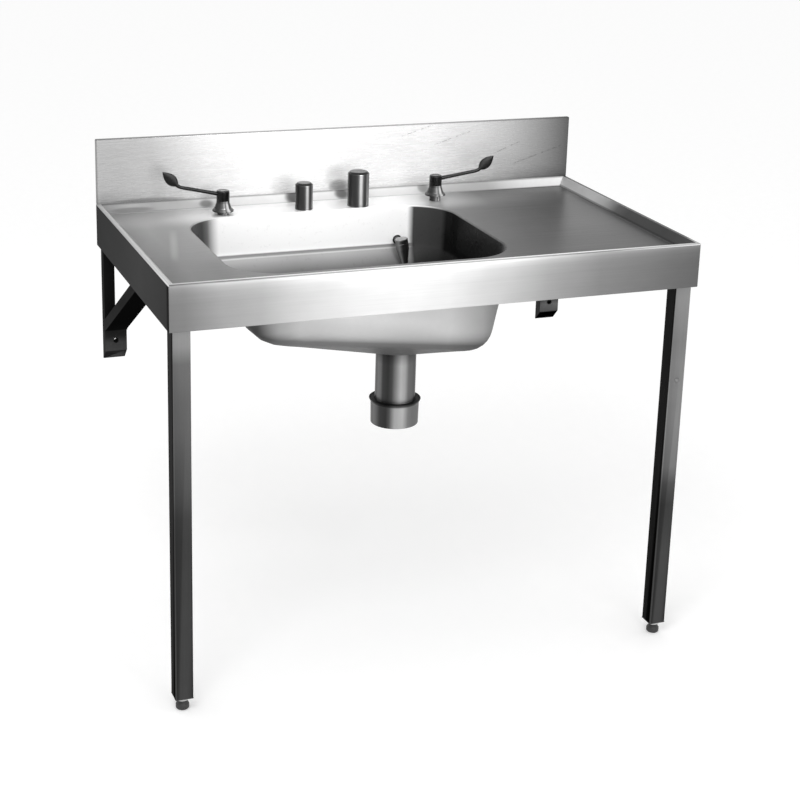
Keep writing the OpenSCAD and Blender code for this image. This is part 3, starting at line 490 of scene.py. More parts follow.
# %% The rule of a screw thread
RIDGE_SHARE = 0.42
thread_rule, given, leave = rule("thread", [
    ("Radius", "Float"), ("Pitch", "Float"), ("Turns", "Float"), ("Base", "Vector"),
    ("Finish", "Material")])
coil = result(thread_rule, "GeometryNodeCurveSpiral", {
    "Resolution": 18, "Rotations": given["Turns"], "Start Radius": given["Radius"],
    "End Radius": given["Radius"], "Height": times(thread_rule, given["Pitch"], given["Turns"])})
tooth = result(thread_rule, "GeometryNodeCurvePrimitiveCircle", {
    "Resolution": 4, "Radius": times(thread_rule, given["Pitch"], RIDGE_SHARE)})
skin = result(thread_rule, "GeometryNodeCurveToMesh", {
    "Curve": coil, "Profile Curve": tooth, "Fill Caps": True})
moved = result(thread_rule, "GeometryNodeTransform", {"Geometry": skin, "Translation": given["Base"]})
close_rule(thread_rule, moved, given, leave)

# %% The rule of a weld
weld_rule, given, leave = rule("weld_bead", [
    ("Count", "Int"), ("Size", "Float"), ("Finish", "Material")])
run = result(weld_rule, "GeometryNodeMeshToCurve", [given[0]])
spots = result(weld_rule, "GeometryNodeResampleCurve", {"Curve": run, "Count": given["Count"]})
drop = result(weld_rule, "GeometryNodeMeshIcoSphere", {"Radius": given["Size"], "Subdivisions": 2})
wobble = result(weld_rule, "FunctionNodeRandomValue", {
    "Min": (0.85, 0.85, 0.8), "Max": (1.15, 1.15, 1.0), "Seed": 7}, data_type="FLOAT_VECTOR")
beads = result(weld_rule, "GeometryNodeInstanceOnPoints", {
    "Points": spots, "Instance": drop, "Scale": wobble})
close_rule(weld_rule, beads, given, leave)

# %% The rule of a perforated disc
disc_rule, given, leave = rule("perforated_disc", [
    ("Radius", "Float"), ("Step", "Float"), ("Hole", "Float"), ("Thickness", "Float"),
    ("Base", "Vector"), ("Finish", "Material")])
edge = result(disc_rule, "GeometryNodeCurvePrimitiveCircle", {"Resolution": 96, "Radius": given["Radius"]})
hole = result(disc_rule, "GeometryNodeCurvePrimitiveCircle", {"Resolution": 20, "Radius": given["Hole"]})
inner = result(disc_rule, "GeometryNodeMeshCircle", {"Vertices": 6, "Radius": given["Step"]})
outer = result(disc_rule, "GeometryNodeMeshCircle", {
    "Vertices": 12, "Radius": times(disc_rule, given["Step"], 2.0)})
holes = result(disc_rule, "GeometryNodeInstanceOnPoints", {
    "Points": joined(disc_rule, inner, outer), "Instance": hole})
holes = result(disc_rule, "GeometryNodeRealizeInstances", [holes])
flat = result(disc_rule, "GeometryNodeFillCurve", [joined(disc_rule, edge, holes)])
up = result(disc_rule, "ShaderNodeCombineXYZ", [0.0, 0.0, given["Thickness"]])
raised = result(disc_rule, "GeometryNodeExtrudeMesh", {"Mesh": flat, "Offset": up, "Individual": False})
under = result(disc_rule, "GeometryNodeFlipFaces", [flat])
plate = result(disc_rule, "GeometryNodeMergeByDistance", {
    "Geometry": joined(disc_rule, raised, under), "Distance": 0.00001})
moved = result(disc_rule, "GeometryNodeTransform", {"Geometry": plate, "Translation": given["Base"]})
close_rule(disc_rule, moved, given, leave)
print("rules", [t.name for t in bpy.data.node_groups])

# %% [markdown]
# ## The worktop
# The top is one sheet: a sunken deck, a sloping rim on four sides, a narrow flat, and an apron folded
# down at the front and the ends. It could be a box with bevels, but a real fold has its own radius at
# each place. So the section is drawn once, with a radius for each fold, and carried round the frame.

# %% Its sizes, read from the frame
low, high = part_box("worktop")
HALF_W, HALF_D, APRON, RIM = high.x, high.y, low.z, high.z
SHEET, SUNK = 0.0015, 0.020
DECK = RIM - SUNK
SLOPE, FLAT = 0.018, 0.008
DECK_X = HALF_W - FLAT - SLOPE
DECK_FRONT = -HALF_D + FLAT + SLOPE
low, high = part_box("upstand")
DECK_BACK = HALF_D - (high.y - low.y) - SLOPE
low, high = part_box("bowl")
FLANGE, BOWL_R, LIP = 0.0075, 0.100, 0.0035
BOWL_X0, BOWL_X1 = low.x + FLANGE, high.x - FLANGE
BOWL_Y0, BOWL_Y1 = low.y + FLANGE, high.y - FLANGE
print("deck", round(DECK_X, 3), round(DECK_FRONT, 3), round(DECK_BACK, 3), "bowl",
      [round(v, 3) for v in (BOWL_X0, BOWL_X1, BOWL_Y0, BOWL_Y1)])

# %% The deck's painted light and shade
def deck_painted_light(tree, place, xyz, normal):
    """Painted reflection behind the bowl, falling off to the front and right; one painted leaning glint."""
    land = ramp(tree, xyz[0], [(-0.55, 0.25), (-0.5, 0.34), (-0.44, 0.28), (-0.3, 0.34), (0.05, 0.34),
                               (0.2, 0.2), (0.28, 0.15), (0.36, 0.13), (0.46, 0.115), (0.52, 0.09),
                               (0.55, 0.05)])
    back = ramp(tree, xyz[0], [(-0.55, 0.36), (-0.42, 0.5), (-0.3, 0.8), (-0.1, 0.98), (0.12, 0.98),
                               (0.22, 0.55), (0.32, 0.22), (0.45, 0.14), (0.55, 0.12)])
    fall = ramp(tree, xyz[1], [(-0.3, 0.32), (-0.15, 0.44), (-0.05, 0.64), (0.1, 0.8), (0.2, 0.97),
                               (0.3, 1.0)])
    near = fade(tree, xyz[1], 0.14, 0.235, kind="SMOOTHSTEP")
    grey = blend(tree, near, times(tree, land, fall), back)
    off = calc(tree, "ABSOLUTE", calc(tree, "ADD", xyz[0], scaled(tree, xyz[1], -0.23, 0.4815)))
    glint = ramp(tree, off, [(0.0, 0.5), (0.004, 0.4), (0.011, 0.0), (0.02, 0.0)])
    reach = ramp(tree, xyz[1], [(-0.12, 0.0), (-0.06, 0.9), (0.04, 1.0), (0.1, 0.6), (0.14, 0.0)])
    grey = times(tree, grey, calc(tree, "ADD", 1.0, times(tree, glint, reach)))
    # Underneath, the deck is painted darker, as painted shade.
    return blend(tree, calc(tree, "LESS_THAN", normal[2], -0.5), grey, 0.26)


# %% The painted light and shade of the apron and of the two ends
def apron_painted_light(tree, place, xyz, normal):
    """Painted reflection, brightest a little left of the middle, brighter still where the sheet turns over.
    """
    along = ramp(tree, xyz[0], [(-0.575, 0.16), (-0.545, 0.17), (-0.47, 0.29), (-0.39, 0.34),
                                (-0.315, 0.48), (-0.21, 0.64), (-0.1, 0.69), (0.0, 0.65), (0.11, 0.5),
                                (0.22, 0.33), (0.34, 0.2), (0.45, 0.16), (0.575, 0.11)])
    # nose: a painted highlight along the fold where the sheet turns over
    nose = ramp(tree, xyz[2], [(0.824, 0.97), (0.88, 1.0), (0.9, 1.12), (0.91, 1.35), (0.916, 1.8),
                               (0.92, 2.0)])
    return times(tree, along, nose)


def ends_painted_light(tree, place, xyz, normal):
    """Painted shade on the left end, which stands in the shade; painted light on the right end, in the
    light.
    """
    left = ramp(tree, xyz[1], [(-0.33, 0.008), (-0.322, 0.012), (-0.31, 0.041), (-0.1, 0.053),
                               (0.33, 0.039)])
    right = ramp(tree, xyz[1], [(-0.33, 0.16), (-0.3, 0.3), (0.33, 0.42)])
    return blend(tree, fade(tree, xyz[0], -0.1, 0.1), left, right)


# %% The rim's painted light, with painted dark reflections of the fittings in it
# Painted dark reflections of the fittings, on the rim's back slope and on the upstand.
def painted_fitting_reflections(tree, xyz, normal, grey, spots):
    """Darkens what looks forward at the back, round each spot (x, height, half sizes, depth)."""
    front = times(tree, calc(tree, "LESS_THAN", normal[1], -0.3), calc(tree, "GREATER_THAN", xyz[1], 0.0))
    for x, z, wide, tall, depth in spots:
        across = calc(tree, "DIVIDE", calc(tree, "SUBTRACT", xyz[0], x), wide)
        down = calc(tree, "DIVIDE", calc(tree, "SUBTRACT", xyz[2], z), tall)
        far = calc(tree, "ADD", times(tree, across, across), times(tree, down, down))
        mark = fade(tree, far, 0.1, 1.0, depth, 0.0, "SMOOTHSTEP")
        grey = times(tree, grey, calc(tree, "SUBTRACT", 1.0, times(tree, mark, front)))
    return grey


def rim_painted_light(tree, place, xyz, normal):
    """Painted light on the flat on top and on a slope for each side of the frame, told apart by where it
    looks.
    """
    flat = ramp(tree, xyz[0], [(-0.575, 0.5), (-0.4, 0.72), (-0.1, 0.85), (0.3, 0.85), (0.45, 0.7),
                               (0.562, 0.5)])
    border = ramp(tree, xyz[1], [(-0.33, 0.4), (-0.3, 0.3), (-0.28, 0.06), (0.33, 0.05)])
    flat = blend(tree, calc(tree, "GREATER_THAN", xyz[0], HALF_W - FLAT), flat, border)
    back = ramp(tree, xyz[0], [(-0.57, 0.26), (-0.5, 0.4), (-0.45, 0.36), (-0.3, 0.6), (-0.15, 0.72),
                               (0.15, 0.7), (0.3, 0.44), (0.36, 0.44), (0.44, 0.72), (0.57, 1.0)])
    # seam: painted shade along the folds at the foot and the top of the back slope
    seam = ramp(tree, xyz[2], [(0.9, 0.35), (0.903, 0.9), (0.916, 1.0), (0.919, 0.45), (0.92, 0.4)])
    back = painted_fitting_reflections(tree, xyz, normal, times(tree, back, seam), [
        (-0.122, 0.911, 0.026, 0.018, 0.8), (-0.006, 0.912, 0.022, 0.013, 0.75),
        (-0.33, 0.909, 0.02, 0.01, 0.6), (0.198, 0.913, 0.018, 0.012, 0.5),
        (-0.5, 0.906, 0.06, 0.006, 0.4)])
    left = ramp(tree, xyz[1], [(-0.33, 0.7), (-0.2, 0.5), (0.0, 0.4), (0.33, 0.3)])
    right = ramp(tree, xyz[1], [(-0.33, 0.05), (-0.2, 0.035), (-0.03, 0.05), (0.02, 0.1), (0.08, 0.38),
                                (0.13, 0.52), (0.33, 0.6)])
    # fold: painted shade at the foot of the right slope
    fold = ramp(tree, xyz[2], [(0.9, 0.35), (0.9035, 0.5), (0.9045, 1.0), (0.92, 1.0)])
    sides = blend(tree, calc(tree, "GREATER_THAN", xyz[0], 0.0), left, times(tree, right, fold))
    slope = blend(tree, fade(tree, calc(tree, "ABSOLUTE", normal[0]), 0.3, 0.5), back, sides)
    return blend(tree, fade(tree, normal[2], 0.8, 0.95), slope, flat)


# %% The worktop's finishes
deck_steel = brushed("deck_steel", deck_painted_light, (4, 300, 60), 0.32)
apron_steel = brushed("apron_steel", apron_painted_light, (5, 40, 300), 0.36)
end_steel = brushed("end_steel", ends_painted_light, (40, 5, 300), 0.45, metal=0.05, shine=0.0)
rim_steel = brushed("rim_steel", rim_painted_light, (90, 90, 90), 0.34, lines=0.06, metal=0.3, shine=0.15)
print("worktop finishes", deck_steel.name, apron_steel.name, end_steel.name, rim_steel.name)


# %% The bowl's mouth, as points
def bowl_outline(off=0.0, corner=24, along=18, across=12):
    """The bowl's mouth, widened by off: points from the back right corner on, turning left."""
    x0, x1, y0, y1, r = BOWL_X0 - off, BOWL_X1 + off, BOWL_Y0 - off, BOWL_Y1 + off, BOWL_R + off
    out = []
    for cx, cy, start, steps, end in (
            (x1 - r, y1 - r, 0, along, (x0 + r, y1)), (x0 + r, y1 - r, 90, across, (x0, y0 + r)),
            (x0 + r, y0 + r, 180, along, (x1 - r, y0)), (x1 - r, y0 + r, 270, across, (x1, y1 - r))):
        arc = [(cx + r * math.cos(t), cy + r * math.sin(t))
               for t in (math.radians(start + 90 * k / corner) for k in range(corner + 1))]
        (x, y), (end_x, end_y) = arc[-1], end
        out += arc + [(x + (end_x - x) * k / steps, y + (end_y - y) * k / steps)
                      for k in range(1, steps)]
    return out


# %% The section and its way round the frame
LAND, EDGE, RETURN, BACK_GAIN = 0.012, SLOPE + FLAT, 0.0075, 3
TIGHT, ROUND_FROM, BESIDE, ARC_STEPS = 0.0008, 0.0235, 0.0005, 6
section = filleted([(-LAND, DECK, 0), (0, DECK, 0.004), (SLOPE, RIM, 0.0022), (EDGE, RIM, 0.003),
                    (EDGE, APRON, 0.0012), (EDGE - RETURN, APRON, 0)])


def worktop_ring(off, z):
    """Points of the section's point (off, z) from the back left round the front to the back right.
    Past the slope the back goes out faster, so that the sheet runs on under the upstand to the wall."""
    x, front = DECK_X + off, DECK_FRONT - off
    past = max(0.0, off - SLOPE)
    back = DECK_BACK + off if not past else min(HALF_D, DECK_BACK + SLOPE + past * BACK_GAIN)
    r = max(TIGHT, off - ROUND_FROM)
    corners = [[(cx + r * math.cos(t), front + r + r * math.sin(t), z)
                for t in (math.radians(start + 90 * k / ARC_STEPS) for k in range(ARC_STEPS + 1))]
               for cx, start in ((-x + r, 180), (x - r, 270))]
    return [(-x, back, z), (-x, front + r + BESIDE, z), *corners[0], (-x + r + BESIDE, front, z),
            (x - r - BESIDE, front, z), *corners[1], (x, front + r + BESIDE, z), (x, back, z)]


# %% Fold it
ON_DECK, ON_APRON, ON_END, ON_RIM = range(4)
DECK_END, NOSE_DROP, NOSE_FROM = 0.0006, 0.0031, 0.0219


def worktop_part(face, i, on_rim):
    """Which finish a face of the section's step i takes."""
    if (section[i].x + section[i + 1].x) / 2 < DECK_END:
        return ON_DECK
    if on_rim or section[i].y > RIM - NOSE_DROP:
        return ON_RIM
    mid = face.calc_center_median()
    return ON_END if abs(mid.x) - HALF_W > -mid.y - HALF_D else ON_APRON


bm = bmesh.new()
rings = [[bm.verts.new(p) for p in worktop_ring(*s)] for s in section]
nose = next(i for i, s in enumerate(section) if s.x > NOSE_FROM and s.y > RIM - 1e-6)
for i, (a, b) in enumerate(zip(rings, rings[1:])):
    closed = i < nose
    for k in range(len(a) - 1 + closed):
        j = (k + 1) % len(a)
        face = bm.faces.new((a[k], b[k], b[j], a[j]))
        face.material_index = worktop_part(face, i, closed)
hole = [bm.verts.new((x, y, DECK)) for x, y in bowl_outline(LIP)]
edges = [bm.edges.new((hole[k - 1], hole[k])) for k in range(len(hole))]
outer = [bm.edges.get((rings[0][k - 1], rings[0][k])) for k in range(len(rings[0]))]
bmesh.ops.triangle_fill(bm, use_beauty=True, use_dissolve=False, edges=edges + outer)
bmesh.ops.recalc_face_normals(bm, faces=bm.faces)
top = max((f for f in bm.faces if f.material_index == ON_DECK), key=lambda f: f.calc_area())
look_out(bm, top, Vector((0, 0, 1)))
lay("worktop_sheet", made_from(bm, [wall(SHEET)], 4), [deck_steel, apron_steel, end_steel, rim_steel],
    "sink", ["worktop"])

# %% [markdown]
# ## The bowl
# The bowl is pressed from one blank: a rolled lip, steep walls down to a crease, and below it a
# bottom that slopes to the outlet, all soft. Boxes cut from each other never look pressed. So a fan of
# lines runs from each point of the lip down the wall and over the bottom, found on the solid by
# casting rays, and is then relaxed until no facet is left.

# %% The bowl's finishes
def bowl_painted_light(tree, place, xyz, normal):
    """Painted light by wall direction, a bottom that follows x, and painted shade in the crease at the
    back.
    """
    turn = calc(tree, "ARCTAN2", normal[1], normal[0])
    side = ramp(tree, turn, [(-3.15, 0.004), (-2.8, 0.006), (-2.64, 0.045), (-1.94, 0.06), (-1.8, 1.0),
                             (-1.42, 1.0), (-1.3, 0.7), (-1.12, 0.16), (-0.95, 0.07), (0.1, 0.08),
                             (0.8, 0.5), (1.57, 0.95), (2.4, 0.4), (3.15, 0.004)])
    floor = ramp(tree, xyz[0], [(-0.4, 0.3), (-0.23, 0.23), (-0.15, 0.16), (-0.06, 0.25), (0.0, 0.22),
                                (0.08, 0.16), (0.13, 0.08), (0.2, 0.03)])
    # sink and deep: painted shade, darker down the walls and deep in the bowl
    sink = ramp(tree, xyz[2], [(0.64, 0.5), (0.755, 0.28), (0.77, 0.34), (0.785, 0.55), (0.797, 0.75),
                               (0.803, 0.8)])
    low_side = times(tree, blend(tree, 0.62, side, floor), sink)
    deep = fade(tree, xyz[2], 0.735, 0.768, 0.75, 0.0, "SMOOTHSTEP")
    low_side = blend(tree, deep, low_side, 0.17)
    grey = blend(tree, fade(tree, xyz[2], 0.801, 0.807), low_side, side)
    # crease: a painted dark line of shade in the crease along the back wall
    crease = ramp(tree, xyz[2], [(0.79, 0.0), (0.803, 0.0), (0.806, 0.7), (0.8105, 0.75), (0.813, 0.0),
                                 (0.82, 0.0)])
    behind = ramp(tree, turn, [(-3.15, 0.0), (-2.0, 0.0), (-1.85, 1.0), (-1.3, 1.0), (-1.1, 0.0),
                               (3.15, 0.0)])
    grey = times(tree, grey, calc(tree, "SUBTRACT", 1.0, times(tree, crease, behind)))
    lip = fade(tree, xyz[2], 0.8962, 0.8985)
    return blend(tree, lip, grey, deck_painted_light(tree, place, xyz, normal))


def bowl_outside_painted_light(tree, place, xyz, normal):
    """The outside: painted light, bright on the left of the middle; painted shade where it looks down."""
    along = ramp(tree, xyz[0], [(-0.41, 0.04), (-0.365, 0.11), (-0.325, 0.56), (-0.28, 0.82),
                                (-0.17, 0.86), (-0.06, 0.74), (0.05, 0.66), (0.11, 0.44), (0.16, 0.24),
                                (0.195, 0.12)])
    down = ramp(tree, normal[2], [(-1.0, 0.12), (-0.6, 0.2), (-0.3, 0.65), (-0.1, 1.0), (0.1, 1.0)])
    return times(tree, along, down)


bowl_steel = brushed("bowl_steel", bowl_painted_light, (90, 90, 90), 0.3, lines=0.01, clouds=0.03, bump=0.0,
                     metal=0.06, shine=0.04)
bowl_under = brushed("bowl_under", bowl_outside_painted_light, (90, 90, 90), 0.45, lines=0.04, clouds=0.1, bump=0.02,
                     metal=0.12, shine=0.08)
print("bowl finishes", bowl_steel.name, bowl_under.name)

# %% Find the pressed bottom on the solid
source = bmesh.new()
source.from_mesh(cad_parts["bowl"].data)
bottom = BVHTree.FromBMesh(source)
source.free()
OUT_X, OUT_Y = middle("coupling_seal")[2].xy
SUMP, WAIST, DRAFT, SUMP_R, ABOVE, BELOW = 0.642, 0.808, 0.004, 0.060, 0.004, 0.003
LIP_STEPS, WALL_STEPS, RAYS, SUMP_STEPS = 5, 8, 29, (0.057, 0.051, 0.0456)
heart = Vector((-0.07, OUT_Y, 0.80))
grid = []
for x, y in bowl_outline():
    inside = Vector((min(max(x, BOWL_X0 + BOWL_R), BOWL_X1 - BOWL_R),
                     min(max(y, BOWL_Y0 + BOWL_R), BOWL_Y1 - BOWL_R)))
    out = (Vector((x, y)) - inside).normalized()
    column = []
    for k in range(LIP_STEPS + 1):
        t = math.radians(90 * k / LIP_STEPS)
        off, z = LIP * (1 - math.sin(t)), DECK - LIP * (1 - math.cos(t))
        column.append(Vector((x + out.x * off, y + out.y * off, z)))
    for k in range(1, WALL_STEPS + 1):
        z = DECK - LIP + (WAIST + ABOVE - DECK + LIP) * k / WALL_STEPS
        off = DRAFT * (DECK - z) / (DECK - WAIST)
        column.append(Vector((x - out.x * off, y - out.y * off, z)))
    start = (Vector((x - out.x * DRAFT, y - out.y * DRAFT, WAIST - BELOW)) - heart).normalized()
    to_sump = (Vector((x, y)) - Vector((OUT_X, OUT_Y))).normalized()
    end = (Vector((OUT_X + to_sump.x * SUMP_R, OUT_Y + to_sump.y * SUMP_R, SUMP)) - heart).normalized()
    for k in range(RAYS + 1):
        column.append(bottom.ray_cast(heart, start.slerp(end, k / RAYS))[0])
    for r in SUMP_STEPS:
        column.append(Vector((OUT_X + to_sump.x * r, OUT_Y + to_sump.y * r, SUMP)))
    grid.append(column)
print("bowl grid", len(grid), "x", len(grid[0]), "missed", sum(p is None for c in grid for p in c))

# %% [markdown]
# Each pass moves a point towards the mean of its neighbours. Pulling alone would shrink the bowl, so
# every second pass pushes back a little more than the one before pulled.

# %% Relax it and give it its wall
PASSES, PULL, PUSH = 28, 0.5, -0.51
FIRST, LAST = LIP_STEPS + 1 + WALL_STEPS, len(grid[0]) - len(SUMP_STEPS) - 1
for step in range(PASSES):
    share = PUSH if step % 2 else PULL
    fresh = [[p.copy() for p in c] for c in grid]
    for i, column in enumerate(grid):
        left, right = grid[i - 1], grid[(i + 1) % len(grid)]
        for k in range(FIRST, LAST):
            mean = (left[k] + right[k] + column[k - 1] + column[k + 1]) / 4
            fresh[i][k] = column[k] + (mean - column[k]) * share
    grid = fresh
bm = bmesh.new()
joined_rows(bm, [[bm.verts.new(column[k]) for column in grid] for k in range(len(grid[0]))])
lowest = min(bm.faces, key=lambda f: f.calc_center_median().z)
look_out(bm, lowest, Vector((0, 0, 1)))
mesh = made_from(bm, [("SOLIDIFY", dict(thickness=SHEET, offset=-1.0, use_even_offset=True,
                                        material_offset=1, material_offset_rim=1))], 2)
lay("bowl_pressing", mesh, [bowl_steel, bowl_under], "sink", ["bowl"], sharp=60)

# %% The flange that holds it under the deck
UNDER, GAP = DECK - SHEET, 0.0001
strip = filleted([(0.002, UNDER - GAP, 0), (FLANGE - GAP, UNDER - GAP, 0.0004),
                  (FLANGE - GAP, UNDER - SHEET, 0.0004), (0.002, UNDER - SHEET, 0)], 2)
bm = bmesh.new()
joined_rows(bm, [[bm.verts.new((x, y, z)) for x, y in bowl_outline(off)] for off, z in strip], True)
lay("bowl_flange", made_from(bm), [bowl_under], "sink")

# %% [markdown]
# ## The upstand
# The splashback is a second sheet, folded over at the top and down a little behind, with closed ends.
# Its face is polished more than the deck, so it mirrors the bright room; that reflection is painted into
# its colour. A few thin dark scratches rise to the right, as in the photograph.

# %% The upstand's finish
def upstand_painted_light(tree, place, xyz, normal):
    """Painted reflection, bright in the middle and darker to the ends, with painted shade on every fold."""
    face = ramp(tree, xyz[0], [(-0.575, 0.43), (-0.45, 0.52), (-0.33, 0.84), (-0.2, 0.98), (0.22, 0.98),
                               (0.33, 0.76), (0.42, 0.54), (0.5, 0.31), (0.575, 0.1)])
    foot = ramp(tree, xyz[2], [(0.92, 0.6), (0.927, 0.8), (0.95, 1.0), (1.0625, 1.0), (1.0645, 0.3),
                               (1.066, 0.3)])
    ends = ramp(tree, calc(tree, "ABSOLUTE", xyz[0]), [(0.0, 1.0), (0.5732, 1.0), (0.5745, 0.25),
                                                       (0.576, 0.25)])
    face = painted_fitting_reflections(tree, xyz, normal, face, [
        (-0.012, 0.93, 0.028, 0.018, 0.5), (-0.02, 0.95, 0.03, 0.035, 0.16),
        (-0.15, 0.94, 0.035, 0.03, 0.12), (-0.46, 0.922, 0.1, 0.008, 0.4)])
    return times(tree, face, foot, ends)


def scratches(tree, place, xyz, normal, grey):
    """Broken dark lines on the front face, each with a place, a length and a lean in degrees."""
    front = calc(tree, "LESS_THAN", normal[1], -0.5)
    for x, z, length, lean in ((0.181, 1.05, 0.08, 17), (0.27, 1.028, 0.095, 17), (0.413, 0.999, 0.07, 21),
                               (0.495, 0.978, 0.125, 17)):
        spot = result(tree, "ShaderNodeMapping", {"Vector": place, "Location": (-x, 0, -z)})
        spun = result(tree, "ShaderNodeMapping", {"Vector": spot, "Rotation": (0, math.radians(lean), 0)})
        part = node(tree, "ShaderNodeSeparateXYZ", [spun]).outputs
        along = calc(tree, "LESS_THAN", calc(tree, "ABSOLUTE", part[0]), length / 2)
        thin = fade(tree, calc(tree, "ABSOLUTE", part[2]), 0.0004, 0.0016, 1.0, 0.0)
        dash = fade(tree, cloud(tree, spun, (120, 1, 120), 2.0), 0.42, 0.56, 0.0, 0.5)
        mark = times(tree, along, thin, dash, front)
        grey = times(tree, grey, calc(tree, "SUBTRACT", 1.0, mark))
    return grey


upstand_steel = brushed("upstand_steel", upstand_painted_light, (14, 60, 160), 0.26, lines=0.02, clouds=0.1,
                        bump=0.0, metal=0.28, extra=scratches)
print("upstand finish", upstand_steel.name)

# %% Its folded sheet
low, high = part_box("upstand")
y0, y1, z0, z1 = low.y, high.y, low.z, high.z
fold = z1 - 0.020
bm = bmesh.new()
corners = {key: bm.verts.new(p) for key, p in {
    "a": (low.x, y0, z0), "b": (high.x, y0, z0), "c": (high.x, y0, z1), "d": (low.x, y0, z1),
    "e": (low.x, y1, z1), "f": (high.x, y1, z1), "g": (low.x, y1, fold), "h": (high.x, y1, fold),
    "i": (low.x, y1, z0), "j": (high.x, y1, z0)}.items()}
for loop in ("abcd", "dcfe", "efhg", "adegi", "bjhfc"):
    bm.faces.new([corners[key] for key in loop])
bmesh.ops.recalc_face_normals(bm, faces=bm.faces)
bm.faces.ensure_lookup_table()
look_out(bm, bm.faces[0], Vector((0, -1, 0)))
mesh = made_from(bm, [
    ("BEVEL", dict(width=0.0022, segments=4, limit_method="ANGLE", angle_limit=math.radians(40))),
    wall(SHEET), ("WEIGHTED_NORMAL", dict(keep_sharp=True))])
lay("upstand_sheet", mesh, [upstand_steel], "sink", ["upstand"])

# %% [markdown]
# ## Legs, sockets and rail
# The frame is square tube with drawn corners. The tube rule gives each length its outer skin, and
# Solidify its wall. Shade is painted into the colour: darker towards the floor, as the room's light falls
# from above, and each face with its own painted shade.

# %% Tube finish
def leg_painted_shade(tree, place, xyz, normal):
    """Painted shade: a ramp up each leg, darker to the floor, and darker faces at its sides."""
    left = ramp(tree, xyz[2], [(0.02, 0.056), (0.38, 0.048), (0.43, 0.052), (0.47, 0.072), (0.56, 0.1),
                               (0.7, 0.135), (0.755, 0.15), (0.79, 0.27), (0.82, 0.3)])
    right = ramp(tree, xyz[2], [(0.02, 0.054), (0.2, 0.056), (0.32, 0.045), (0.37, 0.08), (0.41, 0.165),
                                (0.5, 0.2), (0.6, 0.22), (0.65, 0.225), (0.7, 0.2), (0.815, 0.26)])
    front = blend(tree, calc(tree, "GREATER_THAN", xyz[0], 0.0), left, right)
    faces = ramp(tree, normal[0], [(-1.0, 0.01), (-0.8, 0.02), (-0.45, 1.0), (0.4, 1.0), (1.0, 0.33)])
    return times(tree, front, faces)


leg_steel = brushed("leg_steel", leg_painted_shade, (220, 220, 5), 0.36, lines=0.1, metal=0.14, shine=0.0)
# The rail, the sockets and the side screw take the frame's steel painted darker, as painted shade.
shaded_steel = brushed("shaded_steel", 0.22, (90, 5, 90), 0.38)
bright_fixing = brushed("bright_fixing", 0.5, (60, 60, 60), 0.3)
print("tube finishes", leg_steel.name, shaded_steel.name, "and fixings", bright_fixing.name)


# %% Tubes
def square_tube(name, a, b, width, depth, corner, finish, nodes):
    """A tube from a to b; its wall is as thick as the sheet."""
    bm = loosened(grown(tube_rule, {"Width": width, "Depth": depth, "Corner": corner, "Finish": finish},
                        [a, b]))
    bm.faces.ensure_lookup_table()
    axis = (Vector(b) - Vector(a)).normalized()
    spoke = bm.faces[0].calc_center_median() - Vector(a)
    spoke -= axis * spoke.dot(axis)
    look_out(bm, bm.faces[0], spoke)
    mesh = made_from(bm, [wall(SHEET), ("WEIGHTED_NORMAL", dict(keep_sharp=True))])
    lay(name, mesh, [finish], "sink", nodes, sharp=40)


for side in ("left", "right"):
    low, high, mid = middle(side + "_leg")
    square_tube(side + "_leg_tube", (mid.x, mid.y, low.z), (mid.x, mid.y, high.z), high.x - low.x,
                high.y - low.y, 0.0032, leg_steel, [side + "_leg"])
low, high, mid = middle("front_rail")
square_tube("front_rail_tube", (low.x, mid.y, mid.z), (high.x, mid.y, mid.z), high.y - low.y,
            high.z - low.z, 0.0025, shaded_steel, ["front_rail"])
for side in ("left", "right"):
    lay(side + "_leg_socket_box", softened(side + "_leg_socket", 0.0012, 3), [shaded_steel],
        "sink", [side + "_leg_socket"])

# %% [markdown]
# ## Wall brackets
# Each bracket is an arm under the deck, a sloping brace and a post on the wall, welded from flat tube.
# They hang in the shade under the two ends, so they are almost black in the photograph, and only the
# foot of each post catches some light; both that shade and that light are painted into their colour.

# %% Bracket finish and pieces
def bracket_painted_shade(tree, place, xyz, normal):
    """Painted shade, almost black; painted light on the front of the foot of each post."""
    left = ramp(tree, xyz[2], [(0.55, 0.06), (0.6, 0.05), (0.615, 0.02), (0.66, 0.01), (0.9, 0.01)])
    right = ramp(tree, xyz[2], [(0.556, 0.004), (0.566, 0.01), (0.577, 0.02), (0.584, 0.11), (0.6, 0.15),
                                (0.62, 0.02)])
    foot = blend(tree, calc(tree, "GREATER_THAN", xyz[0], 0.0), left, right)
    faces = ramp(tree, normal[1], [(-1.0, 1.0), (-0.6, 0.3), (0.2, 0.25), (1.0, 0.5)])
    side = ramp(tree, xyz[2], [(0.55, 0.05), (0.66, 0.03), (0.75, 0.022), (0.9, 0.03)])
    sideways = fade(tree, calc(tree, "ABSOLUTE", normal[0]), 0.5, 0.8)
    return blend(tree, sideways, times(tree, foot, faces), side)


bracket_steel = brushed("bracket_steel", bracket_painted_shade, (60, 60, 8), 0.5, lines=0.18, clouds=0.2, metal=0.0,
                        shine=0.0)
for side in ("left", "right"):
    for part in ("arm", "post", "brace"):
        lay(side + "_" + part + "_tube", softened(side + "_" + part, 0.0014, 3), [bracket_steel],
            "sink", [side + "_" + part])

# %% The welds of the brackets
for side in ("left", "right"):
    low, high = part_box(side + "_brace")
    seam = [(x, high.y - 0.0004, low.z + 0.001) for x in (low.x, high.x)]
    mesh = grown(weld_rule, {"Count": 26, "Size": 0.0014, "Finish": bracket_steel}, seam)
    lay(side + "_brace_weld", mesh, [], "sink")

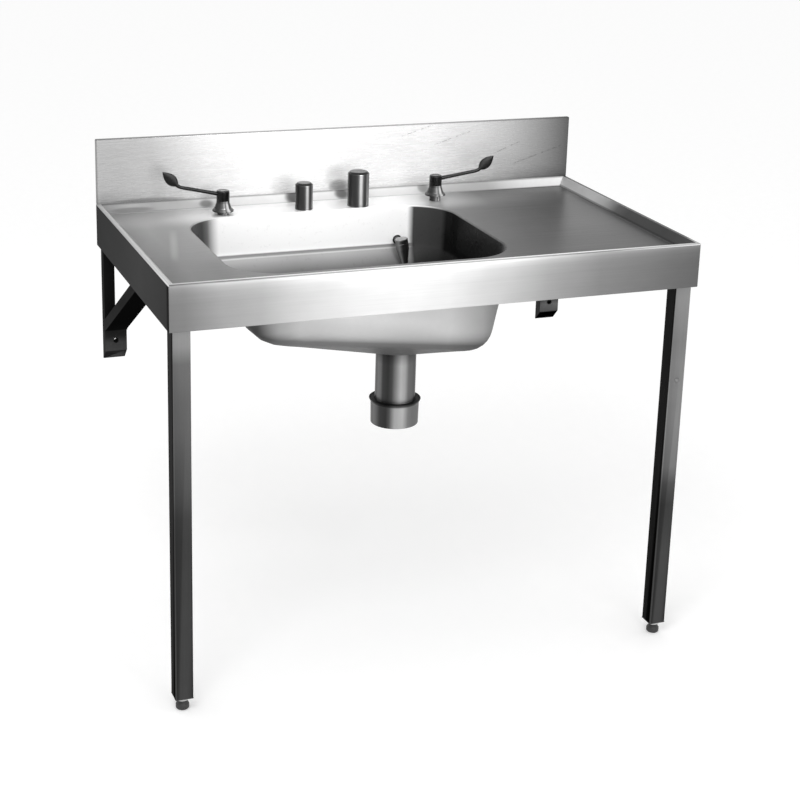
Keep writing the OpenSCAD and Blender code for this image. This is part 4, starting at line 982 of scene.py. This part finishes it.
# %% [markdown]
# ## Turned chrome
# Covers, caps and hubs are turned and plated. Chrome mirrors the dark room beside the lamps, so a round
# piece shows dark flanks and one bright upright stripe; these are painted into its colour as a painted
# reflection. The stripe follows the turn round the piece's own axis, which is where the surface looks, and
# not where the camera stands.

# %% Chrome finish
def painted_reflection_bands(tree, normal, stops, top=0.07, shift=0.0, flats=(0.75, 0.95)):
    """A painted reflection that follows the turn round the piece; the grey top where the surface looks up.
    """
    turn = calc(tree, "ADD", calc(tree, "ARCTAN2", normal[1], normal[0]), shift)
    return blend(tree, fade(tree, normal[2], *flats), ramp(tree, turn, stops), top)


def cap_painted_reflection(tree, place, xyz, normal):
    """One painted reflection for both caps; on the large one, standing to the right, it is turned a little.
    """
    large = calc(tree, "GREATER_THAN", xyz[0], -0.09)
    return painted_reflection_bands(tree, normal, [
        (-3.15, 0.06), (-2.6, 0.02), (-2.3, 0.07), (-1.95, 0.07), (-1.78, 0.1), (-1.66, 0.32),
        (-1.57, 0.85), (-1.4, 0.88), (-1.3, 0.3), (-1.2, 0.12), (-1.0, 0.07), (-0.78, 0.34),
        (-0.5, 0.12), (0.4, 0.3), (1.6, 0.1), (3.15, 0.06)], 0.03, times(tree, large, 0.16), (0.3, 0.6))


cap_chrome = brushed("cap_chrome", cap_painted_reflection, (90, 90, 12), 0.14, lines=0.1, clouds=0.1, bump=0.02,
                     shine=0.05)


def valve_painted_reflection(tree, place, xyz, normal):
    """Two bright painted reflection bands near the front on a dark round."""
    return painted_reflection_bands(tree, normal, [
        (-3.15, 0.03), (-2.3, 0.04), (-1.9, 0.12), (-1.7, 0.32), (-1.5, 0.1), (-1.35, 0.55),
        (-1.15, 0.7), (-1.0, 0.1), (-0.7, 0.05), (0.4, 0.25), (1.6, 0.08), (3.15, 0.03)])


def jet_painted_reflection(tree, place, xyz, normal):
    """Painted reflection: bright on the left, dark in front, and grey on top."""
    return painted_reflection_bands(tree, normal, [
        (-3.15, 0.1), (-2.7, 0.22), (-2.35, 0.3), (-2.1, 0.12), (-1.85, 0.03), (-1.3, 0.02), (-0.7, 0.04),
        (0.4, 0.2), (1.6, 0.1), (3.15, 0.1)], 0.3)


valve_chrome = brushed("valve_chrome", valve_painted_reflection, (60, 60, 60), 0.16, lines=0.14, clouds=0.2, bump=0.03)
jet_chrome = brushed("jet_chrome", jet_painted_reflection, (60, 60, 60), 0.2, lines=0.2, clouds=0.3, bump=0.03)
# The levers are chrome painted almost black: a painted dark reflection.
lever_chrome = brushed("lever_chrome", 0.028, (60, 60, 60), 0.24, lines=0.2, clouds=0.4, bump=0.03,
                       metal=0.8)
print("chromes", cap_chrome.name, valve_chrome.name, jet_chrome.name, lever_chrome.name)

# %% Caps of the two vacuum breakers
GROOVE, CAP_WALL = 0.0006, 0.002
for size in ("small", "large"):
    low, high, mid = middle(size + "_breaker_cap")
    r, top_z, base_z = (high.x - low.x) / 2, high.z, low.z
    bm = bmesh.new()
    lathed(bm, [(0, top_z, 0), (r - 0.0045, top_z, 0.002), (r, top_z - 0.0045, 0.002),
                (r, base_z + 0.0045, 0.0003), (r - GROOVE, base_z + 0.004, 0.0003),
                (r - GROOVE, base_z + 0.003, 0.0003), (r, base_z + 0.0025, 0.0003), (r, base_z, 0.0004),
                (r - CAP_WALL, base_z, 0.0003), (r - CAP_WALL, top_z - 0.004, 0.001),
                (0, top_z - 0.004, 0)], upright(mid.x, mid.y), 96)
    lay(size + "_cap", made_from(bm), [cap_chrome], "sink", [size + "_breaker_cap"], sharp=50)

# %% [markdown]
# ## The lever valves
# A lever valve has a round nut on the deck, a bell over it, and a hub that turns with its lever. The
# lever is forged: a thin round arm that rises, a knuckle, and a leaf-shaped blade to push with an elbow.
# A chain of ellipses lofted along one bent line gives that in one smooth skin.

# %% Nut and bell
BORE = 0.0106


def bell_corners(z, r0, r1, h):
    """The section of a bell from its top outside down to the foot and up again inside."""
    return [(r1, z + h, 0), (r1 + 0.0004, z + h * 0.8, 0.004), (r0 - 0.005, z + h * 0.3, 0.006),
            (r0, z + 0.003, 0.002), (r0, z, 0.0006), (r0 - 0.0015, z, 0.0003),
            (r0 - 0.0065, z + h * 0.28, 0.003), (0.0135, z + h * 0.33, 0.001),
            (0.0135, z + h - 0.0015, 0.0005), (BORE, z + h - 0.0015, 0.0002), (BORE, z + h, 0.0002)]


for side in ("left", "right"):
    low, high, mid = middle(side + "_valve_nut")
    place, r = upright(mid.x, mid.y), (high.x - low.x) / 2
    bm = bmesh.new()
    lathed(bm, [(BORE, low.z, 0), (r, low.z, 0.0008), (r, high.z, 0.0008), (BORE, high.z, 0)], place,
           closed=True, support=0.0004)
    lay(side + "_deck_nut", made_from(bm), [valve_chrome], "sink", [side + "_valve_nut"])
    low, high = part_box(side + "_valve_cover")
    bm = bmesh.new()
    lathed(bm, bell_corners(low.z, (high.x - low.x) / 2, 0.0145, high.z - low.z), place, 96, 4, True)
    lay(side + "_bell", made_from(bm), [valve_chrome], "sink", [side + "_valve_cover"], sharp=50)


# %% Loft a lever along its line
def lofted(bm, stations, sides=28):
    """Stations (centre, direction, half size across, half size upwards); closed at both ends."""
    rings = []
    for centre, along, w, t in stations:
        over = Vector((0, 1, 0))
        up = along.cross(over).normalized()
        rings.append([bm.verts.new(centre + over * (w * math.cos(a)) + up * (t * math.sin(a)))
                      for a in (2 * math.pi * k / sides for k in range(sides))])
    for a, b in zip(rings, rings[1:]):
        for k in range(sides):
            j = (k + 1) % sides
            bm.faces.new((a[k], a[j], b[j], b[k]))
    for ring, at in ((rings[0], stations[0][0]), (rings[-1], stations[-1][0])):
        tip = bm.verts.new(at)
        for k in range(sides):
            bm.faces.new((ring[k], ring[(k + 1) % sides], tip))


HUB_R, HUB_H, ROD, BLADE, LEAF_STEPS = 0.0145, 0.023, 0.098, 0.052, 18
RISE, KICK = math.radians(12), math.radians(44)


def lever_line(root, way):
    """The stations of a lever's rod, knuckle and blade; way is -1 to the left and 1 to the right."""
    along = Vector((math.cos(RISE) * way, 0, math.sin(RISE)))
    up = Vector((math.cos(KICK) * way, 0, math.sin(KICK)))
    knee = root + Vector((ROD * way, 0, ROD * math.tan(RISE)))
    out = []
    for s in (0.009, 0.02, 0.035, 0.05, 0.065, 0.078, 0.088, 0.0935):
        t = min(1, s / 0.05)
        out.append((root + along * s, along, 0.0048 - 0.0009 * t, 0.0048 - 0.0007 * t))
    for k in range(1, 6):
        t = k / 6
        bend = (along * (t - 1) + up * t) * 0.004 * (1 - abs(2 * t - 1) * 0.3)
        out.append((knee + bend, along.lerp(up, t).normalized(), 0.0034 - 0.0008 * t,
                    0.0038 + 0.0006 * t))
    for k in range(LEAF_STEPS + 1):
        u = k / LEAF_STEPS
        leaf = max(0.0042 * (1 - u) ** 0.5, BLADE / 4 * math.sin(math.pi * u ** 0.85) ** 0.8 * 0.94)
        out.append((knee + up * (0.004 + (BLADE - 0.0065) * u), up, 0.0026 - 0.0012 * u,
                    leaf if k < LEAF_STEPS else 0.0012))
    return out


# %% Levers and their screws
for side, way, rest in (("left", -1, -5), ("right", 1, 14)):
    hub_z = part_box(side + "_lever")[0].z
    x, y = middle(side + "_valve_nut")[2].xy
    bm = bmesh.new()
    lathed(bm, [(0.0041, hub_z + 0.0002, 0), (HUB_R, hub_z + 0.0002, 0.0008), (HUB_R, hub_z + HUB_H, 0.004),
                (0.0078, hub_z + HUB_H, 0.0004), (0.0072, hub_z + HUB_H - 0.003, 0.0002),
                (0.0041, hub_z + HUB_H - 0.003, 0)], upright(x, y), arc=5, closed=True)
    lofted(bm, lever_line(Vector((x, y, hub_z + 0.55 * HUB_H)), way))
    bmesh.ops.recalc_face_normals(bm, faces=bm.faces)
    bmesh.ops.rotate(bm, verts=bm.verts, cent=(x, y, 0),
                     matrix=Matrix.Rotation(math.radians(-way * rest), 3, "Z"))
    lay(side + "_lever_arm", made_from(bm), [lever_chrome], side + "_lever_set",
        [side + "_lever"], sharp=55)
    low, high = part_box(side + "_lever_screw")
    bm = bmesh.new()
    lathed(bm, [(0, high.z, 0), (0.007, high.z - 0.0004, 0.0008), (0.007, high.z - 0.003, 0.0002),
                (0.0025, high.z - 0.003, 0.0002), (0.0025, low.z, 0.0003), (0, low.z, 0)],
           upright(x, y), 48)
    lay(side + "_index_cap", made_from(bm), [valve_chrome], side + "_lever_set",
        [side + "_lever_screw"])

# %% [markdown]
# ## The spray jet
# In the back right corner of the bowl a bright jet leans a little: a tail through the wall with its
# flange, a turned head and a tapering nozzle.

# %% Jet
JET_X, JET_Z, TAIL_IN, TAIL_OUT, STEM = 0.095, 0.822, 0.034, 0.012, 0.0075
middle_of_jet = Matrix.Translation((JET_X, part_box("spray_jet")[1].y - TAIL_OUT - TAIL_IN, JET_Z))
bm = bmesh.new()
lathed(bm, [(0, 0, 0), (STEM, 0, 0), (STEM, 0.0275, 0.0008), (0.011, 0.0279, 0.0006),
            (0.011, 0.030, 0.0006), (STEM, 0.0302, 0), (STEM, TAIL_IN + TAIL_OUT, 0.0005),
            (0.0045, TAIL_IN + TAIL_OUT, 0.0003), (0.0045, TAIL_IN, 0), (0, TAIL_IN, 0)],
       middle_of_jet @ Matrix.Rotation(math.radians(-90), 4, "X"), 48)
lathed(bm, [(0, 0.010, 0), (0.015, 0.010, 0.002), (0.015, 0.001, 0.0006), (0.0142, 0, 0.0004),
            (0.015, -0.001, 0.0006), (0.015, -0.014, 0.001), (0.0076, -0.050, 0.0008),
            (0.0055, -0.050, 0.0003), (0.0055, -0.03, 0), (0, -0.03, 0)],
       middle_of_jet @ Matrix.Rotation(math.radians(-10), 4, "Y"), 64)
lay("jet_nozzle", made_from(bm), [jet_chrome], "sink", ["spray_jet"], sharp=50)

# %% [markdown]
# ## The outlet
# A straight pipe is welded into the sump, and a steel collar with a flared lip and a dark rubber seal
# couples it to the drain. All of them are turned shapes; the weld is a row of small overlapping drops.

# %% Outlet finishes
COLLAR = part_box("coupling_collar")[1].z


def round_painted_light(stops, heights):
    """Painted reflection bands round the pipe, times painted shade by height, darker towards the top."""
    def tone(tree, place, xyz, normal):
        side = ramp(tree, calc(tree, "ARCTAN2", normal[1], normal[0]), stops)
        return times(tree, side, ramp(tree, xyz[2], heights))
    return tone


pipe_steel = brushed("pipe_steel", round_painted_light([
    (-3.15, 0.06), (-2.95, 0.17), (-2.75, 0.15), (-2.6, 0.05), (-2.3, 0.035), (-2.1, 0.06), (-1.87, 0.22),
    (-1.65, 0.41), (-1.45, 0.35), (-1.25, 0.16), (-0.95, 0.11), (-0.75, 0.03), (-0.3, 0.05), (0.6, 0.25),
    (1.6, 0.15), (2.9, 0.1), (3.15, 0.06)],
    [(0.46, 0.85), (0.53, 1.0), (0.61, 1.0), (0.63, 0.6), (0.645, 0.4)]),
    (60, 60, 10), 0.34, lines=0.12, shine=0.1)
collar_metal = brushed("collar_metal", round_painted_light([
    (-3.15, 0.1), (-2.97, 0.16), (-2.8, 0.12), (-2.6, 0.045), (-2.3, 0.035), (-2.15, 0.08), (-1.94, 0.32),
    (-1.6, 0.38), (-1.35, 0.18), (-1.1, 0.15), (-0.82, 0.13), (-0.4, 0.06), (0.6, 0.25), (1.6, 0.15),
    (3.15, 0.1)],
    [(COLLAR - 0.06, 1.0), (COLLAR - 0.008, 1.0), (COLLAR - 0.005, 0.25), (COLLAR, 0.08)]),
    (40, 40, 14), 0.36, lines=0.14, shine=0.06)


def moulded(name, tone, rough, speck=0.25, shine=0.4):
    """Rubber and plastic: one colour with a fine grain and a dull, slightly uneven surface."""
    made, tree = blank(name)
    place = axes(tree)[0]
    grain = cloud(tree, place, (180, 180, 180), 4.0, 0.65)
    slow = cloud(tree, place, (14, 14, 14), 2.0)
    mixed = calc(tree, "ADD", calc(tree, "MULTIPLY", grain, 0.6), calc(tree, "MULTIPLY", slow, 0.4))
    wave = fade(tree, mixed, 0.3, 0.7, 1 - speck, 1 + speck)
    close_finish(tree, [calc(tree, "MULTIPLY", wave, c) for c in tone], grain,
                 (rough - 0.08, rough + 0.08), 0.15, 0.0, shine)
    return made


black_rubber = moulded("black_rubber", (0.009, 0.009, 0.009), 0.6, shine=0.15)
pad_rubber = moulded("pad_rubber", (0.05, 0.05, 0.048), 0.8, 0.4)
grey_nylon = moulded("grey_nylon", (0.032, 0.032, 0.032), 0.5, 0.2)
white_acetal = moulded("white_acetal", (0.75, 0.75, 0.72), 0.4, 0.06)
warm_brass = brushed("warm_brass", 0.62, (40, 40, 40), 0.34, (1.0, 0.74, 0.36), lines=0.1, clouds=0.2)
drawn_copper = brushed("drawn_copper", 0.62, (20, 20, 20), 0.3, (1.0, 0.58, 0.38), lines=0.08, clouds=0.25)
print("finishes so far", len(bpy.data.materials))

# %% Pipe, seal and collar
axis, OUT_R, BUTT = upright(OUT_X, OUT_Y), 0.045, 0.0449
low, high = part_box("outlet_pipe")
bm = bmesh.new()
lathed(bm, [(0.0434, high.z, 0.0003), (OUT_R, high.z, 0.0003), (OUT_R, low.z, 0.0005),
            (0.0434, low.z, 0.0005)], axis, 96, closed=True)
lathed(bm, [(BUTT, SUMP - 0.0017, 0), (0.0529, SUMP - 0.0017, 0.0004), (0.0529, SUMP - 0.003, 0.0006),
            (BUTT, SUMP - 0.003, 0)], axis, 96, closed=True, support=0.0004)
lay("outlet_tube", made_from(bm), [pipe_steel], "sink", ["outlet_pipe"], sharp=50)
circle = [(OUT_X + 0.0452 * math.cos(t), OUT_Y + 0.0452 * math.sin(t), SUMP - 0.0034)
          for t in (2 * math.pi * k / 72 for k in range(72))]
mesh = grown(weld_rule, {"Count": 150, "Size": 0.0013, "Finish": pipe_steel}, circle, closed=True)
lay("outlet_weld", mesh, [], "sink")
low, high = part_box("coupling_collar")
top_z, step_z, r, bore = high.z, high.z - 0.009, 0.054, 0.051
print("collar", round(low.z, 4), round(high.z, 4), "outlet", round(OUT_X, 4), round(OUT_Y, 4))
bm = bmesh.new()
lathed(bm, [(bore, low.z, 0.0006), (r - 0.001, low.z, 0.0008), (r, step_z, 0.004),
            (r + 0.0040, top_z, 0.0006), (r + 0.0020, top_z, 0.0004), (0.052, step_z, 0.002),
            (0.052, top_z - 0.014, 0.0003), (bore, top_z - 0.014, 0.0003)], axis, 96, 4, True)
lay("drain_collar", made_from(bm), [collar_metal], "sink", ["coupling_collar"], sharp=50)
low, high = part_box("coupling_seal")
inner, outer = 0.0451, 0.0519
bm = bmesh.new()
lathed(bm, [(inner, low.z, 0), (outer, low.z, 0.0004), (outer, step_z, 0.002),
            (outer + 0.0035, high.z, 0.0008), (inner, high.z, 0.0008)], axis, 96, 4, True)
lay("drain_seal", made_from(bm), [black_rubber], "sink", ["coupling_seal"], sharp=50)

# %% The grating over the outlet
low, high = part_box("waste_grate")
mesh = grown(disc_rule, {"Radius": 0.0518, "Step": 0.104 / 6.2, "Hole": 0.0045, "Thickness": 0.002,
                         "Base": (OUT_X, OUT_Y, low.z), "Finish": bright_fixing})
bm = bmesh.new()
bm.from_mesh(mesh)
lathed(bm, [(0, low.z + 0.0019, 0), (0.0025, low.z + 0.0019, 0), (0.0025, low.z + 0.008, 0.0005),
            (0.006, low.z + 0.008, 0.0006), (0.006, high.z, 0.0012), (0, high.z, 0)], axis, 40)
lay("grate_disc", made_from(bm), [bright_fixing], "grate", ["waste_grate"])

# %% [markdown]
# ## Feet
# A moulded foot with a screwed stem sets the height, and a round lock nut holds it against the plug in
# the tube. The thread is a spiral ridge, grown by its rule, just inside the screw's outer size.

# %% Feet, lock nuts and plugs
for side in ("left", "right"):
    low, high, mid = middle(side + "_foot")
    x, y, r = mid.x, mid.y, (high.x - low.x) / 2
    bm = bmesh.new()
    lathed(bm, [(0, 0, 0), (r - 0.003, 0, 0.0008), (r, 0.003, 0.0012), (r, 0.011, 0.004),
                (r - 0.0045, 0.0176, 0.004), (0.0075, 0.0199, 0.0015), (0.0046, 0.0200, 0),
                (0.0046, high.z, 0.0006), (0, high.z, 0)], upright(x, y), 64, 5)
    lay(side + "_foot_pad", made_from(bm), [grey_nylon], side + "_foot", [side + "_foot"])
    mesh = grown(thread_rule, {"Radius": 0.0045, "Pitch": 0.00125, "Turns": 44.0,
                               "Base": (x, y, 0.0212), "Finish": bright_fixing})
    lay(side + "_foot_thread", mesh, [], side + "_foot")
    lay(side + "_plug", softened(side + "_leg_plug", 0.0006), [grey_nylon], "sink",
        [side + "_leg_plug"])
low, high, mid = middle("foot_locknuts")
r = 0.013
bm = bmesh.new()
for way in (-1, 1):
    lathed(bm, [(0.0053, low.z, 0), (r, low.z, 0.0009), (r, high.z, 0.0009), (0.0053, high.z, 0)],
           upright(way * (high.x - r), mid.y), 48, closed=True, support=0.0004)
lay("lock_nuts", made_from(bm), [bright_fixing], "sink", ["foot_locknuts"])

# %% [markdown]
# ## Pipework and fixings behind and below
# Copper feed pipes run from the valves to the breakers and on to the jet. The pipe rule bends them at
# each corner. Brass bodies, nuts and bolts keep the shape of their solids, with softened edges.

# %% Copper pipes
PIPE_R = 0.0075
FIX_Y = HALF_D - 0.088


def copper_pipe(name, path):
    bm = loosened(grown(pipe_rule, {"Radius": PIPE_R, "Bend": 0.016, "Finish": drawn_copper}, path))
    lay(name + "_run", made_from(bm, [wall(0.001)]), [drawn_copper], "sink", [name])


for name in ("left_feed_pipe", "right_feed_pipe"):
    low, high, mid = middle(name)
    copper_pipe(name, [(low.x, FIX_Y, mid.z), (high.x, FIX_Y, mid.z)])
low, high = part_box("small_outlet_pipe")
x, z = low.x + PIPE_R, low.z + PIPE_R
copper_pipe("small_outlet_pipe", [(x, FIX_Y, high.z), (x, FIX_Y, z), (high.x, FIX_Y, z)])
low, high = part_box("jet_pipe")
copper_pipe("jet_pipe", [(low.x, FIX_Y, JET_Z), (JET_X, FIX_Y, JET_Z), (JET_X, low.y, JET_Z)])

# %% Brass, bolts and the rest
plain = (
    (warm_brass, "brass", (
        "left_valve_body", "right_valve_body", "small_breaker_body", "large_breaker_body",
        "small_breaker_nut", "large_breaker_nut", "mixing_tee", "pipe_nuts", "earth_tag")),
    (bright_fixing, "fixing_steel", ("leg_bolts", "arm_bolts")),
    (shaded_steel, "fixing_steel", ("leg_side_screw",)),
    (black_rubber, "rubber", (
        "left_valve_washer", "right_valve_washer", "small_breaker_washer", "large_breaker_washer")),
    (pad_rubber, "pad", ("deadening_pad",)))
for finish, slot, names in plain:
    for name in names:
        lay(name + "_soft", softened(name, 0.0004), [finish], "sink", [name])
for name, finish in (("left_valve_spindle", warm_brass), ("right_valve_spindle", warm_brass),
                     ("small_breaker_float", white_acetal), ("large_breaker_float", white_acetal)):
    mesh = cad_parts[name].data
    mesh.materials.clear()
    mesh.materials.append(finish)

# %% Threads on the inlet tails
for side in ("left", "right"):
    low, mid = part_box(side + "_valve_body")[0], middle(side + "_valve_nut")[2]
    mesh = grown(thread_rule, {"Radius": 0.0100, "Pitch": 0.0018, "Turns": 11.0,
                               "Base": (mid.x, FIX_Y, low.z + 0.0015), "Finish": warm_brass})
    lay(side + "_tail_thread", mesh, [], "sink")

# %% [markdown]
# ## The floor
# A pale sheet under the feet, only to keep the shadow. It is not part of the sink.

# %% Floor
paper, tree = blank("paper")
place = axes(tree)[0]
pale = fade(tree, cloud(tree, place, (30, 30, 30), 3.0), 0.3, 0.7, 0.93, 0.96)
skin = result(tree, "ShaderNodeBsdfDiffuse", {"Color": result(tree, "ShaderNodeCombineColor", [pale] * 3)})
lift = result(tree, "ShaderNodeEmission", {"Strength": times(tree, seen_or_mirrored(tree), 0.15)})
node(tree, "ShaderNodeOutputMaterial", [result(tree, "ShaderNodeAddShader", [skin, lift])])
mesh = bpy.data.meshes.new("floor")
mesh.from_pydata([(-14, -14, 0), (14, -14, 0), (14, 14, 0), (-14, 14, 0)], [], [(0, 1, 2, 3)])
mesh.materials.append(paper)
floor = bpy.data.objects.new("floor", mesh)
scene.collection.objects.link(floor)
